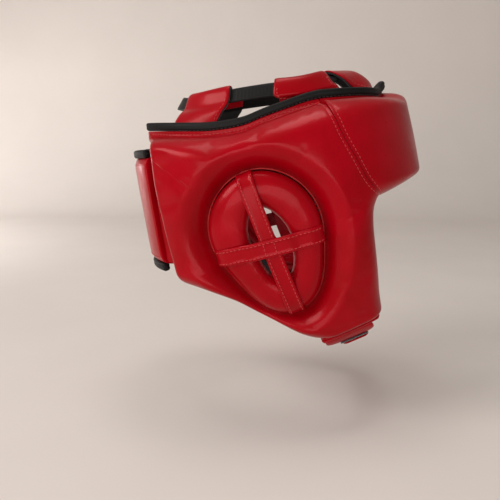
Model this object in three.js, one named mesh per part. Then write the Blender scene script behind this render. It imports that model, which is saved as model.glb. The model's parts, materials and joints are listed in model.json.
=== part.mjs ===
// Boxing headgear: padded side and forehead panels, ear rings with crossed straps, a webbing crown
// held in leather loops, an overlapping closure behind the head and a strap under the chin.
// Millimetres, +Z up, the wearer faces -Y and their right side is -X.
// The origin lies in the middle of the head, level with the centres of the ear openings.
import * as THREE from 'three';

// ---------------------------------------------------------------- driving dimensions

// The space for the head: a rounded oval at every height.
const HEAD = {
  power: 2.4, centreY: 5,
  halfWidth: 76, widestZ: 30, narrowsAbove: 0.0028, narrowsBelow: 0.0012,
  front: 107, browZ: 45, leansAbove: 0.16, cheekZ: 25, spreadsBelow: 0.17,
  rear: 92.8, rearLean: 0.165, blend: 20,
};

// Layers of a padded panel, measured outwards from the head.
const PAD = { full: 28, edge: 4.5, skin: 1.2, lining: 1.5, gap: 0.3 };
const PANEL_ROWS = [0, 0.06, 0.2, 0.42, 0.68, 0.9, 1];
const FOREHEAD_ROWS = [0, 0.05, 0.16, 0.4, 0.7, 0.93, 1];

// Edges of a side panel seen from the side, as [y, z]. flange is the flat sewn margin, roll the width
// over which the pad rises from it, and lowest the share of the full height left at the edge itself.
const EDGES = {
  top: {
    points: [[98.5, 84], [70, 83], [44, 83], [20, 86.5], [2, 93.5], [-16, 100], [-30, 105], [-41, 108]],
    steps: 9, flange: 5, roll: 22, rearRoll: 12, lowest: 0,
  },
  seam: {
    points: [[-41, 108], [-43.5, 94], [-49.5, 77.5], [-58, 61], [-68.5, 42], [-81, 31]],
    steps: 6, flange: 0, roll: 4, lowest: 0.95,
  },
  face: {
    points: [[-81, 31], [-78.5, 24], [-79, 10], [-82, -10], [-85, -30], [-87.5, -47], [-91, -62]],
    steps: 6, flange: 0, roll: 14, lowest: 0,
  },
  chin: { points: [[-91, -62], [-45, -82]], steps: 3, flange: 0, roll: 7, lowest: 0 },
  bottom: {
    points: [[-45, -82], [-28, -77], [4, -61], [24, -49.5], [46, -41], [66, -36]],
    steps: 7, flange: 0, roll: 13, lowest: 0,
  },
  rear: {
    points: [[66, -36], [70, -18], [75.5, 8], [81.5, 36], [86, 60], [89.5, 70.5], [96.5, 76], [98.5, 84]],
    steps: 11, flange: 0, roll: 11, lowest: 0,
  },
};

// Where along Y the roll of the top edge narrows to its rear width.
const REAR_ROLL = { start: 38, length: 34 };
const FOREHEAD = {
  columns: 16, halfLength: 75, seamGap: 0.8, topCentreZ: 112.5, bottomCentreZ: 42, topFall: 2, bottomFall: 8,
  pull: 7, pullWidth: 0.14, topFull: 25, bottomFull: 32, topRoll: 8, bottomRoll: 9, flange: 3,
  topEdgeSteps: 12,
};

// Ear opening and the hole of the ring pad: ellipses leaning back at the top, one fuller below.
const EAR = { y: -5.2, z: -3.2, long: 58, short: 41, lean: 21.5, fullness: 0.22, edge: 8, roll: 17 };
const EAR_HOLE = { y: -6.4, z: -2, long: 29.5, short: 14.5, lean: 21.5, fullness: 0.1 };
const RING = { gap: 1.3, middle: 13, rise: 9, around: 36, sides: 8 };
const PIPING = { radius: 1.2, sides: 5, gap: 0.4 };
// A level strap is lifted over the upright one where the two cross, and comes down beside it.
const EAR_STRAP = {
  thick: 1.6, clear: 0.9, endGap: 2.3, uprightWidth: 12.5, levelWidth: 13.5, levelSlope: 15,
  liftGap: 0.4, downFrom: 22, downOver: 10, steps: 14,
};

// Bound top edge; the front loop draws its middle forwards into a knob.
const BINDING = {
  halfHigh: 3.45, halfThick: 3.35, middle: 3.1, gap: 0.4, sides: 8, knob: 4.5, knobWidth: 0.13,
};

// Crown webbing: centre line from the front round the right side to the rear, as [x, y, z].
const WEBBING = {
  points: [
    [0, -55, 131], [-20, -53.5, 129.5], [-38, -47, 125.5], [-51, -27, 119.5], [-54, 0, 116.5],
    [-51, 32, 112], [-37, 62, 107], [0, 80.5, 109],
  ],
  high: 12, thick: 1.6, frontSlope: 100, sideSlope: 24, rearSlope: 30, stations: 60,
};
// Crown loops: the stretch of webbing and of top edge that each joins, as shares of half a turn from
// the front, then how far the loop bows upwards, and how much more it does so in the middle of its width.
const LOOPS = {
  front: { webbing: [-0.13, 0.13], edge: [-0.11, 0.11], bow: -4, dome: 8 },
  front_side: { webbing: [0.195, 0.43], edge: [0.34, 0.54], bow: 2, dome: 0 },
  rear_side: { webbing: [0.61, 0.82], edge: [0.71, 0.865], bow: 2, dome: 0 },
};
// A loop starts on the inside of the top edge, at inset behind it, from footDrop below it to lipRise
// above. It folds round the webbing at fold from its middle, over and under its two edges.
const LOOP = {
  leather: 1.5, lining: 0.8, halfGap: 0.15, fold: 3, over: 1.8, under: 1.5, innerLeg: 8, inset: 2.8,
  footDrop: 5, lipRise: 6, steps: 8, points: 14,
};

// Rear closure: two flaps that overlap behind the head.
const FLAP = {
  bottomZ: -25, topZ: 62, hem: 6, middleZ: 16, binding: 7, root: [[76, -37], [93, 69]],
  outer: { inside: 5.8, patch: 1, patchStart: 6, padding: 5, skin: 1.2, reach: 38, bindingProud: 0.8 },
  inner: { inside: 1, leather: 2.4, patch: 1, patchStart: 4, reach: 30, bindingProud: 0.5 },
  stations: 14,
};

// Chin closure, in a plane tilted about X: along is forwards and up, depth is away from the head. Each
// layer has its two faces' depths from the strap line, its two ends across the head and its steps. The
// leather pieces widen at the roots, beyond rootFrom, where they are sewn on.
const CHIN = {
  y: -68, z: -74, tilt: 25.4, halfSpan: 64, power: 6, startDepth: 9.5, sag: 15, wide: 25,
  rootBack: -24, rootFront: 20, rootFrom: 53,
  tab: { depths: [-5.2, -3.4], ends: [-62.5, -10], steps: 14 },
  loop: { depths: [-3.1, -2.1], ends: [-52, -12], steps: 10 },
  hook: { depths: [-1.8, -0.8], ends: [-38, -6], steps: 6 },
  strap: { depths: [-0.5, 1.3], ends: [-38, 62.5], steps: 22 },
};
// Folded band that closes the bottom of a cheek, as its distances from the head, its height and its gap.
const CHIN_BAND = { inside: 1, outsideTop: 13.5, outsideLow: 14, high: 6, gap: 0.8, steps: 3 };

const RED = { color: 0xb0141e, roughness: 0.35, metalness: 0 };
const BLACK = { color: 0x101012, roughness: 0.6, metalness: 0 };
const FOAM = { color: 0x3a3a3e, roughness: 0.95, metalness: 0 };
const LINING = { color: 0x18181a, roughness: 0.85, metalness: 0 };

// ---------------------------------------------------------------- small helpers

const headgear = new THREE.Group();

const signedPower = (value, power) => Math.sign(value) * Math.abs(value) ** power;
const clamp = (value) => Math.min(1, Math.max(0, value));
const mix = (a, b, share) => a + (b - a) * share;
const radians = THREE.MathUtils.degToRad;
// A ramp that is 0 well below zero and x well above it, with a soft bend between.
const softRamp = (x) => (x + Math.hypot(x, HEAD.blend)) / 2;

// Points spread evenly along a smooth curve through the given points.
function spread(points, steps) {
  const curve = new THREE.SplineCurve(points.map(([y, z]) => new THREE.Vector2(y, z)));
  return curve.getSpacedPoints(steps);
}

// Joins rings of points into one closed body. Each ring has an even number of points and is capped by
// pairing its first half with its second half, so a ring may be a thin bent section. The two halves
// are split along matching diagonals, so that nested layers stay parallel.
function loft(rings, closed = false) {
  const count = rings[0].length;
  const positions = rings.flat().flatMap((point) => [point.x, point.y, point.z]);
  const faces = [];
  const quad = (a, b, c, d) => faces.push(a, b, c, a, c, d);
  const otherQuad = (a, b, c, d) => faces.push(a, b, d, b, c, d);
  const last = closed ? rings.length : rings.length - 1;
  for (let i = 0; i < last; i += 1) {
    const here = i * count;
    const next = ((i + 1) % rings.length) * count;
    for (let k = 0; k < count; k += 1) {
      const after = (k + 1) % count;
      const split = k < count / 2 ? quad : otherQuad;
      split(here + k, here + after, next + after, next + k);
    }
  }
  if (!closed) {
    const end = (rings.length - 1) * count;
    for (let k = 0; k < count / 2 - 1; k += 1) {
      const pair = count - 1 - k;
      quad(k, pair, pair - 1, k + 1);
      quad(end + k, end + k + 1, end + pair - 1, end + pair);
    }
  }
  const geometry = new THREE.BufferGeometry();
  geometry.setAttribute('position', new THREE.Float32BufferAttribute(positions, 3));
  geometry.setIndex(signedVolume(positions, faces) < 0 ? faces.reverse() : faces);
  geometry.computeVertexNormals();
  return geometry;
}

function signedVolume(positions, faces) {
  const corner = (index) => new THREE.Vector3().fromArray(positions, index * 3);
  let volume = 0;
  for (let i = 0; i < faces.length; i += 3) {
    volume += corner(faces[i]).dot(corner(faces[i + 1]).cross(corner(faces[i + 2])));
  }
  return volume / 6;
}

function add(name, geometry, finish) {
  const mesh = new THREE.Mesh(geometry, new THREE.MeshStandardMaterial(finish));
  mesh.name = name;
  headgear.add(mesh);
}

// ---------------------------------------------------------------- the head surface

function ovalAt(z) {
  const above = z - HEAD.widestZ;
  const narrows = above > 0 ? HEAD.narrowsAbove : HEAD.narrowsBelow;
  const leansBack = HEAD.leansAbove * softRamp(z - HEAD.browZ);
  const spreadsOut = HEAD.spreadsBelow * softRamp(HEAD.cheekZ - z);
  return {
    halfWidth: HEAD.halfWidth - narrows * above ** 2,
    front: HEAD.front - leansBack + spreadsOut,
    rear: HEAD.rear + HEAD.rearLean * z,
  };
}

// A point on the head surface: angle 0 is the front, positive angles go round by the +X side.
function headPoint(angle, z) {
  const oval = ovalAt(z);
  const forward = signedPower(Math.cos(angle), 2 / HEAD.power);
  return new THREE.Vector3(
    oval.halfWidth * signedPower(Math.sin(angle), 2 / HEAD.power),
    HEAD.centreY - (forward > 0 ? oval.front : oval.rear) * forward,
    z,
  );
}

function headNormal(angle, z) {
  const step = 0.02;
  const round = headPoint(angle + step, z).sub(headPoint(angle - step, z));
  const up = headPoint(angle, z + 1).sub(headPoint(angle, z - 1));
  return round.cross(up).normalize();
}

function wrapPoint(angle, z, out) {
  return headPoint(angle, z).addScaledVector(headNormal(angle, z), out);
}

// The angle at which the head surface has the given y, on the +X side.
function angleOf(y, z) {
  const oval = ovalAt(z);
  const forward = HEAD.centreY - y;
  const share = clamp(Math.abs(forward) / (forward > 0 ? oval.front : oval.rear)) ** (HEAD.power / 2);
  return Math.acos(Math.sign(forward) * share);
}

// side is -1 for the wearer's right and +1 for their left.
function sidePoint(side, y, z, out) {
  const point = wrapPoint(angleOf(y, z), z, out);
  point.x *= side;
  return point;
}

// ---------------------------------------------------------------- padded side panels

const earPoint = (ear, turn, radius) => new THREE.Vector2(
  ear.y + radius * Math.cos(turn),
  ear.z + radius * Math.sin(turn),
);

// Distance from the centre of an ear outline to its edge, at a turn from the +Y direction.
function earRadius(ear, turn) {
  const fromTop = turn - radians(90 - ear.lean);
  const ellipse = 1 / Math.hypot(Math.cos(fromTop) / ear.long, Math.sin(fromTop) / ear.short);
  return ellipse * (1 + ear.fullness * Math.cos(fromTop) * Math.sin(fromTop) ** 2);
}

function roll(distance, edge) {
  const share = clamp((distance - edge.flange) / edge.roll);
  return mix(edge.lowest, 1, Math.sqrt(1 - (1 - share) ** 2));
}

function distanceToLine(point, line) {
  let nearest = Infinity;
  for (let i = 0; i + 1 < line.length; i += 1) {
    const along = line[i + 1].clone().sub(line[i]);
    const share = clamp(point.clone().sub(line[i]).dot(along) / along.lengthSq());
    nearest = Math.min(nearest, point.distanceTo(line[i].clone().addScaledVector(along, share)));
  }
  return nearest;
}

const edgeLines = Object.fromEntries(
  Object.entries(EDGES).map(([name, edge]) => [name, spread(edge.points, edge.steps)]),
);

// How far the cover of a side panel stands off the head.
function sideHeight(y, z) {
  const point = new THREE.Vector2(y, z);
  let share = 1;
  const toRear = clamp((y - REAR_ROLL.start) / REAR_ROLL.length);
  for (const [name, edge] of Object.entries(EDGES)) {
    const width = mix(edge.roll, edge.rearRoll ?? edge.roll, toRear);
    share *= roll(distanceToLine(point, edgeLines[name]), { ...edge, roll: width });
  }
  const fromEar = point.clone().sub(new THREE.Vector2(EAR.y, EAR.z));
  const clear = Math.max(0, fromEar.length() - earRadius(EAR, fromEar.angle()));
  const earShare = Math.sin(clamp(clear / EAR.roll) * Math.PI / 2);
  const height = mix(PAD.edge, PAD.full, share);
  return mix(Math.min(EAR.edge, height), height, earShare);
}

// The outline of a side panel, without repeating the corners where its edges meet.
const sideOutline = Object.values(edgeLines).flatMap((line) => line.slice(0, -1));

// A section of a layer between two heights over a column of places.
function layerRing(column, pointAt, inner, outer) {
  const top = column.map((place) => pointAt(place, outer(place)));
  const bottom = column.map((place) => pointAt(place, inner(place)));
  return [...top, ...bottom.reverse()];
}

function layeredPanel(suffix, columns, pointAt, heightAt, closed) {
  const foamStart = PAD.lining + PAD.gap;
  const body = (place) => heightAt(place) - PAD.skin - PAD.gap;
  const layers = {
    cover: [columns, (place) => heightAt(place) - PAD.skin, heightAt, RED],
    foam: [columns.map((column) => column.slice(1, -1)), () => foamStart, body, FOAM],
    lining: [columns, () => 0, () => PAD.lining, LINING],
  };
  for (const [name, [grid, inner, outer, finish]] of Object.entries(layers)) {
    const kept = name === 'foam' && !closed ? grid.slice(1, -1) : grid;
    const rings = kept.map((column) => layerRing(column, pointAt, inner, outer));
    add(`${name}_${suffix}`, loft(rings, closed), finish);
  }
}

function addSidePanel(side, word) {
  const centre = new THREE.Vector2(EAR.y, EAR.z);
  const columns = sideOutline.map((rim) => {
    const turn = rim.clone().sub(centre).angle();
    const hole = earPoint(EAR, turn, earRadius(EAR, turn));
    return PANEL_ROWS.map((share) => rim.clone().lerp(hole, share));
  });
  const pointAt = (place, out) => sidePoint(side, place.x, place.y, out);
  layeredPanel(word, columns, pointAt, (place) => sideHeight(place.x, place.y), true);
}

// ---------------------------------------------------------------- forehead panel

const seamCurve = new THREE.SplineCurve(EDGES.seam.points.map(([y, z]) => new THREE.Vector2(y, z)));

// across runs from -1 at the right seam to 1 at the left seam, rise from 0 below to 1 above.
function foreheadPlace(across, rise) {
  const seam = seamCurve.getPointAt(1 - rise);
  const bottom = FOREHEAD.bottomCentreZ - FOREHEAD.bottomFall * across ** 2;
  const pull = FOREHEAD.pull * Math.exp(-((across / FOREHEAD.pullWidth) ** 2));
  const top = FOREHEAD.topCentreZ - FOREHEAD.topFall * across ** 2 + pull;
  const middle = mix(bottom, top, rise);
  const z = mix(middle, seam.y, Math.abs(across) ** 4);
  return { across, rise, z, angle: across * angleOf(seam.x, seam.y), tall: top - bottom };
}

function foreheadHeight(place) {
  const toSeam = Math.abs(place.across) ** 2;
  const full = mix(mix(FOREHEAD.bottomFull, FOREHEAD.topFull, place.rise), PAD.full, toSeam);
  const top = { flange: FOREHEAD.flange, roll: mix(FOREHEAD.topRoll, EDGES.top.roll, toSeam), lowest: 0 };
  const bottomRoll = mix(FOREHEAD.bottomRoll, EDGES.face.roll, toSeam ** 2);
  const bottom = { flange: 0, roll: bottomRoll, lowest: 0 };
  const seamDistance = (1 - Math.abs(place.across)) * FOREHEAD.halfLength;
  const share = roll((1 - place.rise) * place.tall, top) * roll(place.rise * place.tall, bottom)
    * roll(seamDistance, EDGES.seam);
  return mix(PAD.edge, full, share);
}

function addForehead() {
  const reach = 1 - FOREHEAD.seamGap / FOREHEAD.halfLength;
  const columns = [];
  for (let i = 0; i <= FOREHEAD.columns; i += 1) {
    const across = (2 * i / FOREHEAD.columns - 1) * reach;
    columns.push(FOREHEAD_ROWS.map((rise) => foreheadPlace(across, rise)));
  }
  const pointAt = (place, out) => wrapPoint(place.angle, place.z, out);
  layeredPanel('forehead', columns, pointAt, foreheadHeight, false);
}

// ---------------------------------------------------------------- top binding

// The top edge from the right rear corner over the forehead to the left rear corner, as [angle, z].
function topEdge() {
  const sideRun = edgeLines.top.map((place) => [angleOf(place.x, place.y), place.y]);
  const right = sideRun.map(([angle, z]) => [-angle, z]);
  const left = sideRun.slice().reverse();
  const front = [];
  for (let i = 1; i < FOREHEAD.topEdgeSteps; i += 1) {
    const place = foreheadPlace(2 * i / FOREHEAD.topEdgeSteps - 1, 1);
    front.push([place.angle, place.z]);
  }
  return [...right, ...front, ...left];
}

function addTopBinding() {
  const level = BINDING.gap + BINDING.halfHigh;
  const corners = [];
  for (let k = 0; k < BINDING.sides; k += 1) {
    const turn = (k + 0.5) * 2 * Math.PI / BINDING.sides;
    const out = BINDING.middle + BINDING.halfThick * Math.cos(turn);
    corners.push([out, level + BINDING.halfHigh * Math.sin(turn)]);
  }
  const rings = topEdge().map(([angle, z]) => {
    const knob = BINDING.knob * Math.exp(-((angle / BINDING.knobWidth) ** 2));
    return corners.map(([out, up]) => wrapPoint(angle, z + up, out + knob));
  });
  add('top_binding', loft(rings), BLACK);
}

// ---------------------------------------------------------------- ear ring pads and their straps

// The far edge of the ring and of its hole, measured from the centre of the ear opening.
function ringEdges(turn) {
  const outer = earRadius(EAR, turn) - RING.gap;
  const shift = (EAR_HOLE.y - EAR.y) * Math.cos(turn) + (EAR_HOLE.z - EAR.z) * Math.sin(turn);
  const inner = earRadius(EAR_HOLE, turn) + shift;
  return { middle: (outer + inner) / 2, half: (outer - inner) / 2 };
}

function ringRise(y, z) {
  const from = new THREE.Vector2(y - EAR.y, z - EAR.z);
  const edges = ringEdges(from.angle());
  const beyond = Math.max(0, from.length() - edges.middle) / edges.half;
  return RING.middle + RING.rise * Math.sqrt(Math.max(0, 1 - beyond ** 2));
}

function addEarRing(side, word) {
  const rings = [];
  for (let i = 0; i < RING.around; i += 1) {
    const turn = i * 2 * Math.PI / RING.around;
    const edges = ringEdges(turn);
    const ring = [];
    for (let k = 0; k < RING.sides; k += 1) {
      const spin = (k + 0.5) * 2 * Math.PI / RING.sides;
      const place = earPoint(EAR, turn, edges.middle + edges.half * Math.cos(spin));
      ring.push(sidePoint(side, place.x, place.y, RING.middle + RING.rise * Math.sin(spin)));
    }
    rings.push(ring);
  }
  add(`ear_ring_${word}`, loft(rings, true), RED);
}

function addEarPiping(side, word) {
  const rings = [];
  for (let i = 0; i < RING.around; i += 1) {
    const turn = i * 2 * Math.PI / RING.around;
    const radius = earRadius(EAR, turn) + PIPING.radius + PIPING.gap;
    const ground = earPoint(EAR, turn, radius + PIPING.radius);
    const height = sideHeight(ground.x, ground.y) + PIPING.radius + PIPING.gap;
    const ring = [];
    for (let k = 0; k < PIPING.sides; k += 1) {
      const spin = k * 2 * Math.PI / PIPING.sides;
      const place = earPoint(EAR, turn, radius + PIPING.radius * Math.cos(spin));
      ring.push(sidePoint(side, place.x, place.y, height + PIPING.radius * Math.sin(spin)));
    }
    rings.push(ring);
  }
  add(`ear_piping_${word}`, loft(rings, true), RED);
}

// A strap across the ear opening at a turn from the +Y direction, lifted over the other one by lift.
function earStrap(side, turn, width, lift) {
  const endAt = (end) => earPoint(EAR, end, earRadius(EAR, end) - EAR_STRAP.endGap);
  const ends = [endAt(turn + Math.PI), endAt(turn)];
  const sideways = new THREE.Vector2(-Math.sin(turn), Math.cos(turn)).multiplyScalar(width / 2);
  const rings = [];
  for (let i = 0; i <= EAR_STRAP.steps; i += 1) {
    const place = ends[0].clone().lerp(ends[1], i / EAR_STRAP.steps);
    const fromCrossing = Math.hypot(place.x - EAR.y, place.y - EAR.z);
    const over = lift * clamp((EAR_STRAP.downFrom - fromCrossing) / EAR_STRAP.downOver);
    const low = ringRise(place.x, place.y) + EAR_STRAP.clear + over;
    const high = low + EAR_STRAP.thick;
    const edgeA = place.clone().add(sideways);
    const edgeB = place.clone().sub(sideways);
    rings.push([
      sidePoint(side, edgeA.x, edgeA.y, high), sidePoint(side, edgeB.x, edgeB.y, high),
      sidePoint(side, edgeB.x, edgeB.y, low), sidePoint(side, edgeA.x, edgeA.y, low),
    ]);
  }
  return loft(rings);
}

function addEarStraps(side, word) {
  const uprightTurn = radians(90 - EAR.lean);
  const levelTurn = radians(180 - EAR_STRAP.levelSlope);
  const lift = EAR_STRAP.thick + EAR_STRAP.liftGap;
  add(`ear_strap_upright_${word}`, earStrap(side, uprightTurn, EAR_STRAP.uprightWidth, 0), RED);
  add(`ear_strap_level_${word}`, earStrap(side, levelTurn, EAR_STRAP.levelWidth, lift), RED);
}

// ---------------------------------------------------------------- crown webbing and its loops

const webbingCurve = new THREE.CatmullRomCurve3([
  ...WEBBING.points.map(([x, y, z]) => new THREE.Vector3(x, y, z)),
  ...WEBBING.points.slice(1, -1).reverse().map(([x, y, z]) => new THREE.Vector3(-x, y, z)),
], true);

// The frame of the webbing at a share of half a turn from the front, positive to the wearer's right.
function webbingFrame(share) {
  const along = ((share / 2) % 1 + 1) % 1;
  const centre = webbingCurve.getPointAt(along);
  const tangent = webbingCurve.getTangentAt(along);
  const outwards = new THREE.Vector3(tangent.y, -tangent.x, 0).normalize();
  if (outwards.dot(new THREE.Vector3(centre.x, centre.y, 0)) < 0) outwards.negate();
  const fore = Math.cos(Math.PI * share);
  const endSlope = fore > 0 ? WEBBING.frontSlope : WEBBING.rearSlope;
  const slope = radians(mix(WEBBING.sideSlope, endSlope, fore ** 6));
  const vertical = new THREE.Vector3(0, 0, 1);
  const out = outwards.clone().multiplyScalar(Math.cos(slope)).addScaledVector(vertical, Math.sin(slope));
  const up = outwards.clone().multiplyScalar(-Math.sin(slope)).addScaledVector(vertical, Math.cos(slope));
  return (outStep, upStep) => centre.clone().addScaledVector(out, outStep).addScaledVector(up, upStep);
}

function addWebbing() {
  const halfThick = WEBBING.thick / 2;
  const halfHigh = WEBBING.high / 2;
  const rings = [];
  for (let i = 0; i < WEBBING.stations; i += 1) {
    const at = webbingFrame(2 * i / WEBBING.stations);
    rings.push([
      at(halfThick, halfHigh), at(-halfThick, halfHigh), at(-halfThick, -halfHigh), at(halfThick, -halfHigh),
    ]);
  }
  add('crown_webbing', loft(rings, true), BLACK);
}

// The top edge at a share of its length from the front centre, positive to the wearer's right.
function edgePlace(share) {
  const places = topEdge();
  const angleEnd = Math.abs(places[0][0]);
  const angle = -Math.min(Math.abs(share), 1) * angleEnd * Math.sign(share);
  for (let i = 0; i + 1 < places.length; i += 1) {
    const [from, fromZ] = places[i];
    const [to, toZ] = places[i + 1];
    if (angle >= from && angle <= to) return [angle, mix(fromZ, toZ, (angle - from) / (to - from))];
  }
  return places[0];
}

// Place, in the points of a loop's line, of the lower fold outside the webbing.
const FOLD_POINT = 4;

// The line of a crown loop: up inside the top edge, over the webbing and down behind it.
function loopLine(loop, share) {
  const at = webbingFrame(mix(loop.webbing[0], loop.webbing[1], share));
  const [angle, z] = edgePlace(mix(loop.edge[0], loop.edge[1], share));
  const above = WEBBING.high / 2;
  const foot = wrapPoint(angle, z - LOOP.footDrop, -LOOP.inset);
  const lip = wrapPoint(angle, z + LOOP.lipRise, -LOOP.inset);
  const outerLow = at(LOOP.fold, -above - LOOP.under);
  const rise = loop.bow + loop.dome * (1 - (2 * share - 1) ** 2);
  const middle = lip.clone().lerp(outerLow, 0.5).add(new THREE.Vector3(0, 0, rise));
  return new THREE.CatmullRomCurve3([
    foot, lip, middle, outerLow, at(LOOP.fold, above), at(0, above + LOOP.over),
    at(-LOOP.fold, above), at(-LOOP.fold, above - LOOP.innerLeg),
  ]).getPoints(LOOP.points);
}

// A strip that follows a line of points, between two distances to its left as seen along widthways.
function stripRing(line, widthways, near, far) {
  const sides = [near, far].map((distance) => line.map((point, i) => {
    const before = line[Math.max(0, i - 1)];
    const after = line[Math.min(line.length - 1, i + 1)];
    const across = widthways.clone().cross(after.clone().sub(before)).normalize();
    return point.clone().addScaledVector(across, distance);
  }));
  return [...sides[1], ...sides[0].reverse()];
}

function addLoop(name, loop, side) {
  const shares = Array.from({ length: LOOP.steps }, (_, i) => i / (LOOP.steps - 1));
  const lines = shares.map((share) => loopLine(loop, share));
  const strip = (near, far) => {
    const rings = lines.map((line, i) => {
      const previous = lines[Math.max(0, i - 1)][FOLD_POINT];
      const next = lines[Math.min(lines.length - 1, i + 1)][FOLD_POINT];
      const widthways = next.clone().sub(previous).normalize();
      return stripRing(line, widthways, near, far).map((point) => point.setX(point.x * side));
    });
    return loft(rings);
  };
  add(`crown_loop_${name}`, strip(-LOOP.leather - LOOP.halfGap, -LOOP.halfGap), RED);
  add(`crown_loop_lining_${name}`, strip(LOOP.halfGap, LOOP.lining + LOOP.halfGap), LINING);
}

// ---------------------------------------------------------------- rear closure

// The straight line on the head surface where a flap is hinged to its side panel.
function flapRoot(z) {
  const [[lowY, lowZ], [highY, highZ]] = FLAP.root;
  return mix(lowY, highY, (z - lowZ) / (highZ - lowZ));
}

// A plate around the back of the head, from the hinge on one side to a reach past the middle. rows are
// its heights from top to bottom, and it may start some stations after the hinge.
function flapPlate(side, reach, rows, inside, outside, start = 0) {
  const rings = [];
  for (let i = start; i <= FLAP.stations; i += 1) {
    const share = i / FLAP.stations;
    const pointAt = (z, out) => {
      const root = angleOf(flapRoot(z), z);
      const end = Math.PI + Math.asin((reach / ovalAt(z).halfWidth) ** (HEAD.power / 2));
      const point = wrapPoint(mix(root, end, share), z, out);
      return point.setX(point.x * side);
    };
    rings.push(layerRing(rows, pointAt, () => inside, () => outside));
  }
  return loft(rings);
}

function addRearClosure() {
  const { outer, inner, bottomZ, topZ, hem, middleZ, binding } = FLAP;
  const gap = PAD.gap;
  const rows = [topZ, topZ - hem, middleZ, bottomZ + hem, bottomZ];
  const patchRows = rows.slice(1, -1);

  const hook = outer.inside + outer.patch;
  const padding = hook + gap + outer.padding;
  const skin = padding + gap + outer.skin;
  const outerPlate = (...layer) => flapPlate(-1, outer.reach, ...layer);
  add('rear_flap_outer_hook', outerPlate(patchRows, outer.inside, hook, outer.patchStart), BLACK);
  add('rear_flap_outer_padding', outerPlate(rows, hook + gap, padding), FOAM);
  add('rear_flap_outer_cover', outerPlate(rows, padding + gap, skin), RED);

  const leather = inner.inside + inner.leather;
  const loop = leather + gap + inner.patch;
  const innerPlate = (...layer) => flapPlate(1, inner.reach, ...layer);
  add('rear_flap_inner_leather', innerPlate(rows, inner.inside, leather), RED);
  add('rear_flap_inner_loop', innerPlate(patchRows, leather + gap, loop, inner.patchStart), BLACK);

  const tops = { bottom: bottomZ - gap, top: topZ + gap + binding };
  for (const [word, z] of Object.entries(tops)) {
    const bar = [z, z - binding];
    const [low, high] = [inner.inside - inner.bindingProud, leather + inner.bindingProud];
    add(`rear_flap_outer_binding_${word}`, outerPlate(bar, hook, skin + outer.bindingProud), BLACK);
    add(`rear_flap_inner_binding_${word}`, innerPlate(bar, low, high), BLACK);
  }
}

// ---------------------------------------------------------------- chin closure

// A point of the chin closure: x across, along the width of the strap, and depth away from the head.
function chinPoint(x, along, depth) {
  const tilt = radians(CHIN.tilt);
  return new THREE.Vector3(
    x,
    CHIN.y - along * Math.cos(tilt) - depth * Math.sin(tilt),
    CHIN.z + along * Math.sin(tilt) - depth * Math.cos(tilt),
  );
}

const chinDepth = (x) => CHIN.sag * (1 - Math.abs(x / CHIN.halfSpan) ** CHIN.power) + CHIN.startDepth;

// A layer of the chin closure, whose back and front edges widthAt gives for each x.
function chinStrip(layer, widthAt) {
  const [inner, outer] = layer.depths;
  const rings = [];
  for (let i = 0; i <= layer.steps; i += 1) {
    const x = mix(...layer.ends, i / layer.steps);
    const lean = Math.atan((chinDepth(x + 1) - chinDepth(x - 1)) / 2);
    const [back, front] = widthAt(x);
    const corner = (along, below) => (
      chinPoint(x - below * Math.sin(lean), along, chinDepth(x) + below * Math.cos(lean))
    );
    rings.push([corner(front, outer), corner(back, outer), corner(back, inner), corner(front, inner)]);
  }
  return loft(rings);
}

function addChinClosure() {
  const half = CHIN.wide / 2;
  const strapWidth = () => [-half, half];
  const rootedWidth = (x) => (Math.abs(x) > CHIN.rootFrom ? [CHIN.rootBack, CHIN.rootFront] : [-half, half]);
  add('chin_tab', chinStrip(CHIN.tab, rootedWidth), RED);
  add('chin_tab_loop', chinStrip(CHIN.loop, strapWidth), BLACK);
  add('chin_strap_hook', chinStrip(CHIN.hook, strapWidth), BLACK);
  add('chin_strap', chinStrip(CHIN.strap, rootedWidth), RED);
}

function addChinBand(side, word) {
  const { inside, outsideTop, outsideLow, high, gap, steps } = CHIN_BAND;
  const corners = [[outsideTop, 0], [outsideLow, -high], [inside, -high], [inside, 0]];
  const [[frontY, frontZ], [rearY, rearZ]] = EDGES.chin.points;
  const rings = [];
  for (let i = 0; i <= steps; i += 1) {
    const y = mix(frontY, rearY, i / steps);
    const z = mix(frontZ, rearZ, i / steps) - gap;
    rings.push(corners.map(([out, up]) => sidePoint(side, y, z + up, out)));
  }
  add(`chin_band_${word}`, loft(rings), RED);
}

// ---------------------------------------------------------------- assembly

const SIDES = [[-1, 'right'], [1, 'left']];

for (const [side, word] of SIDES) {
  addSidePanel(side, word);
  addEarRing(side, word);
  addEarPiping(side, word);
  addEarStraps(side, word);
  addLoop(`front_${word}`, LOOPS.front_side, -side);
  addLoop(`rear_${word}`, LOOPS.rear_side, -side);
  addChinBand(side, word);
}
addForehead();
addTopBinding();
addWebbing();
addLoop('front', LOOPS.front, 1);
addRearClosure();
addChinClosure();

export default headgear;
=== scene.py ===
"""Boxing headgear: its looks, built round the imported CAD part.

Shapes are worked out in millimetres, in the frame of the CAD part: +Z up, the wearer faces -Y and
their right side is -X. They turn into metres only where a mesh is made.
"""
import json
import math

import bpy
import numpy as np
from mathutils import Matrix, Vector, noise
from mathutils.bvhtree import BVHTree


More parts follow.
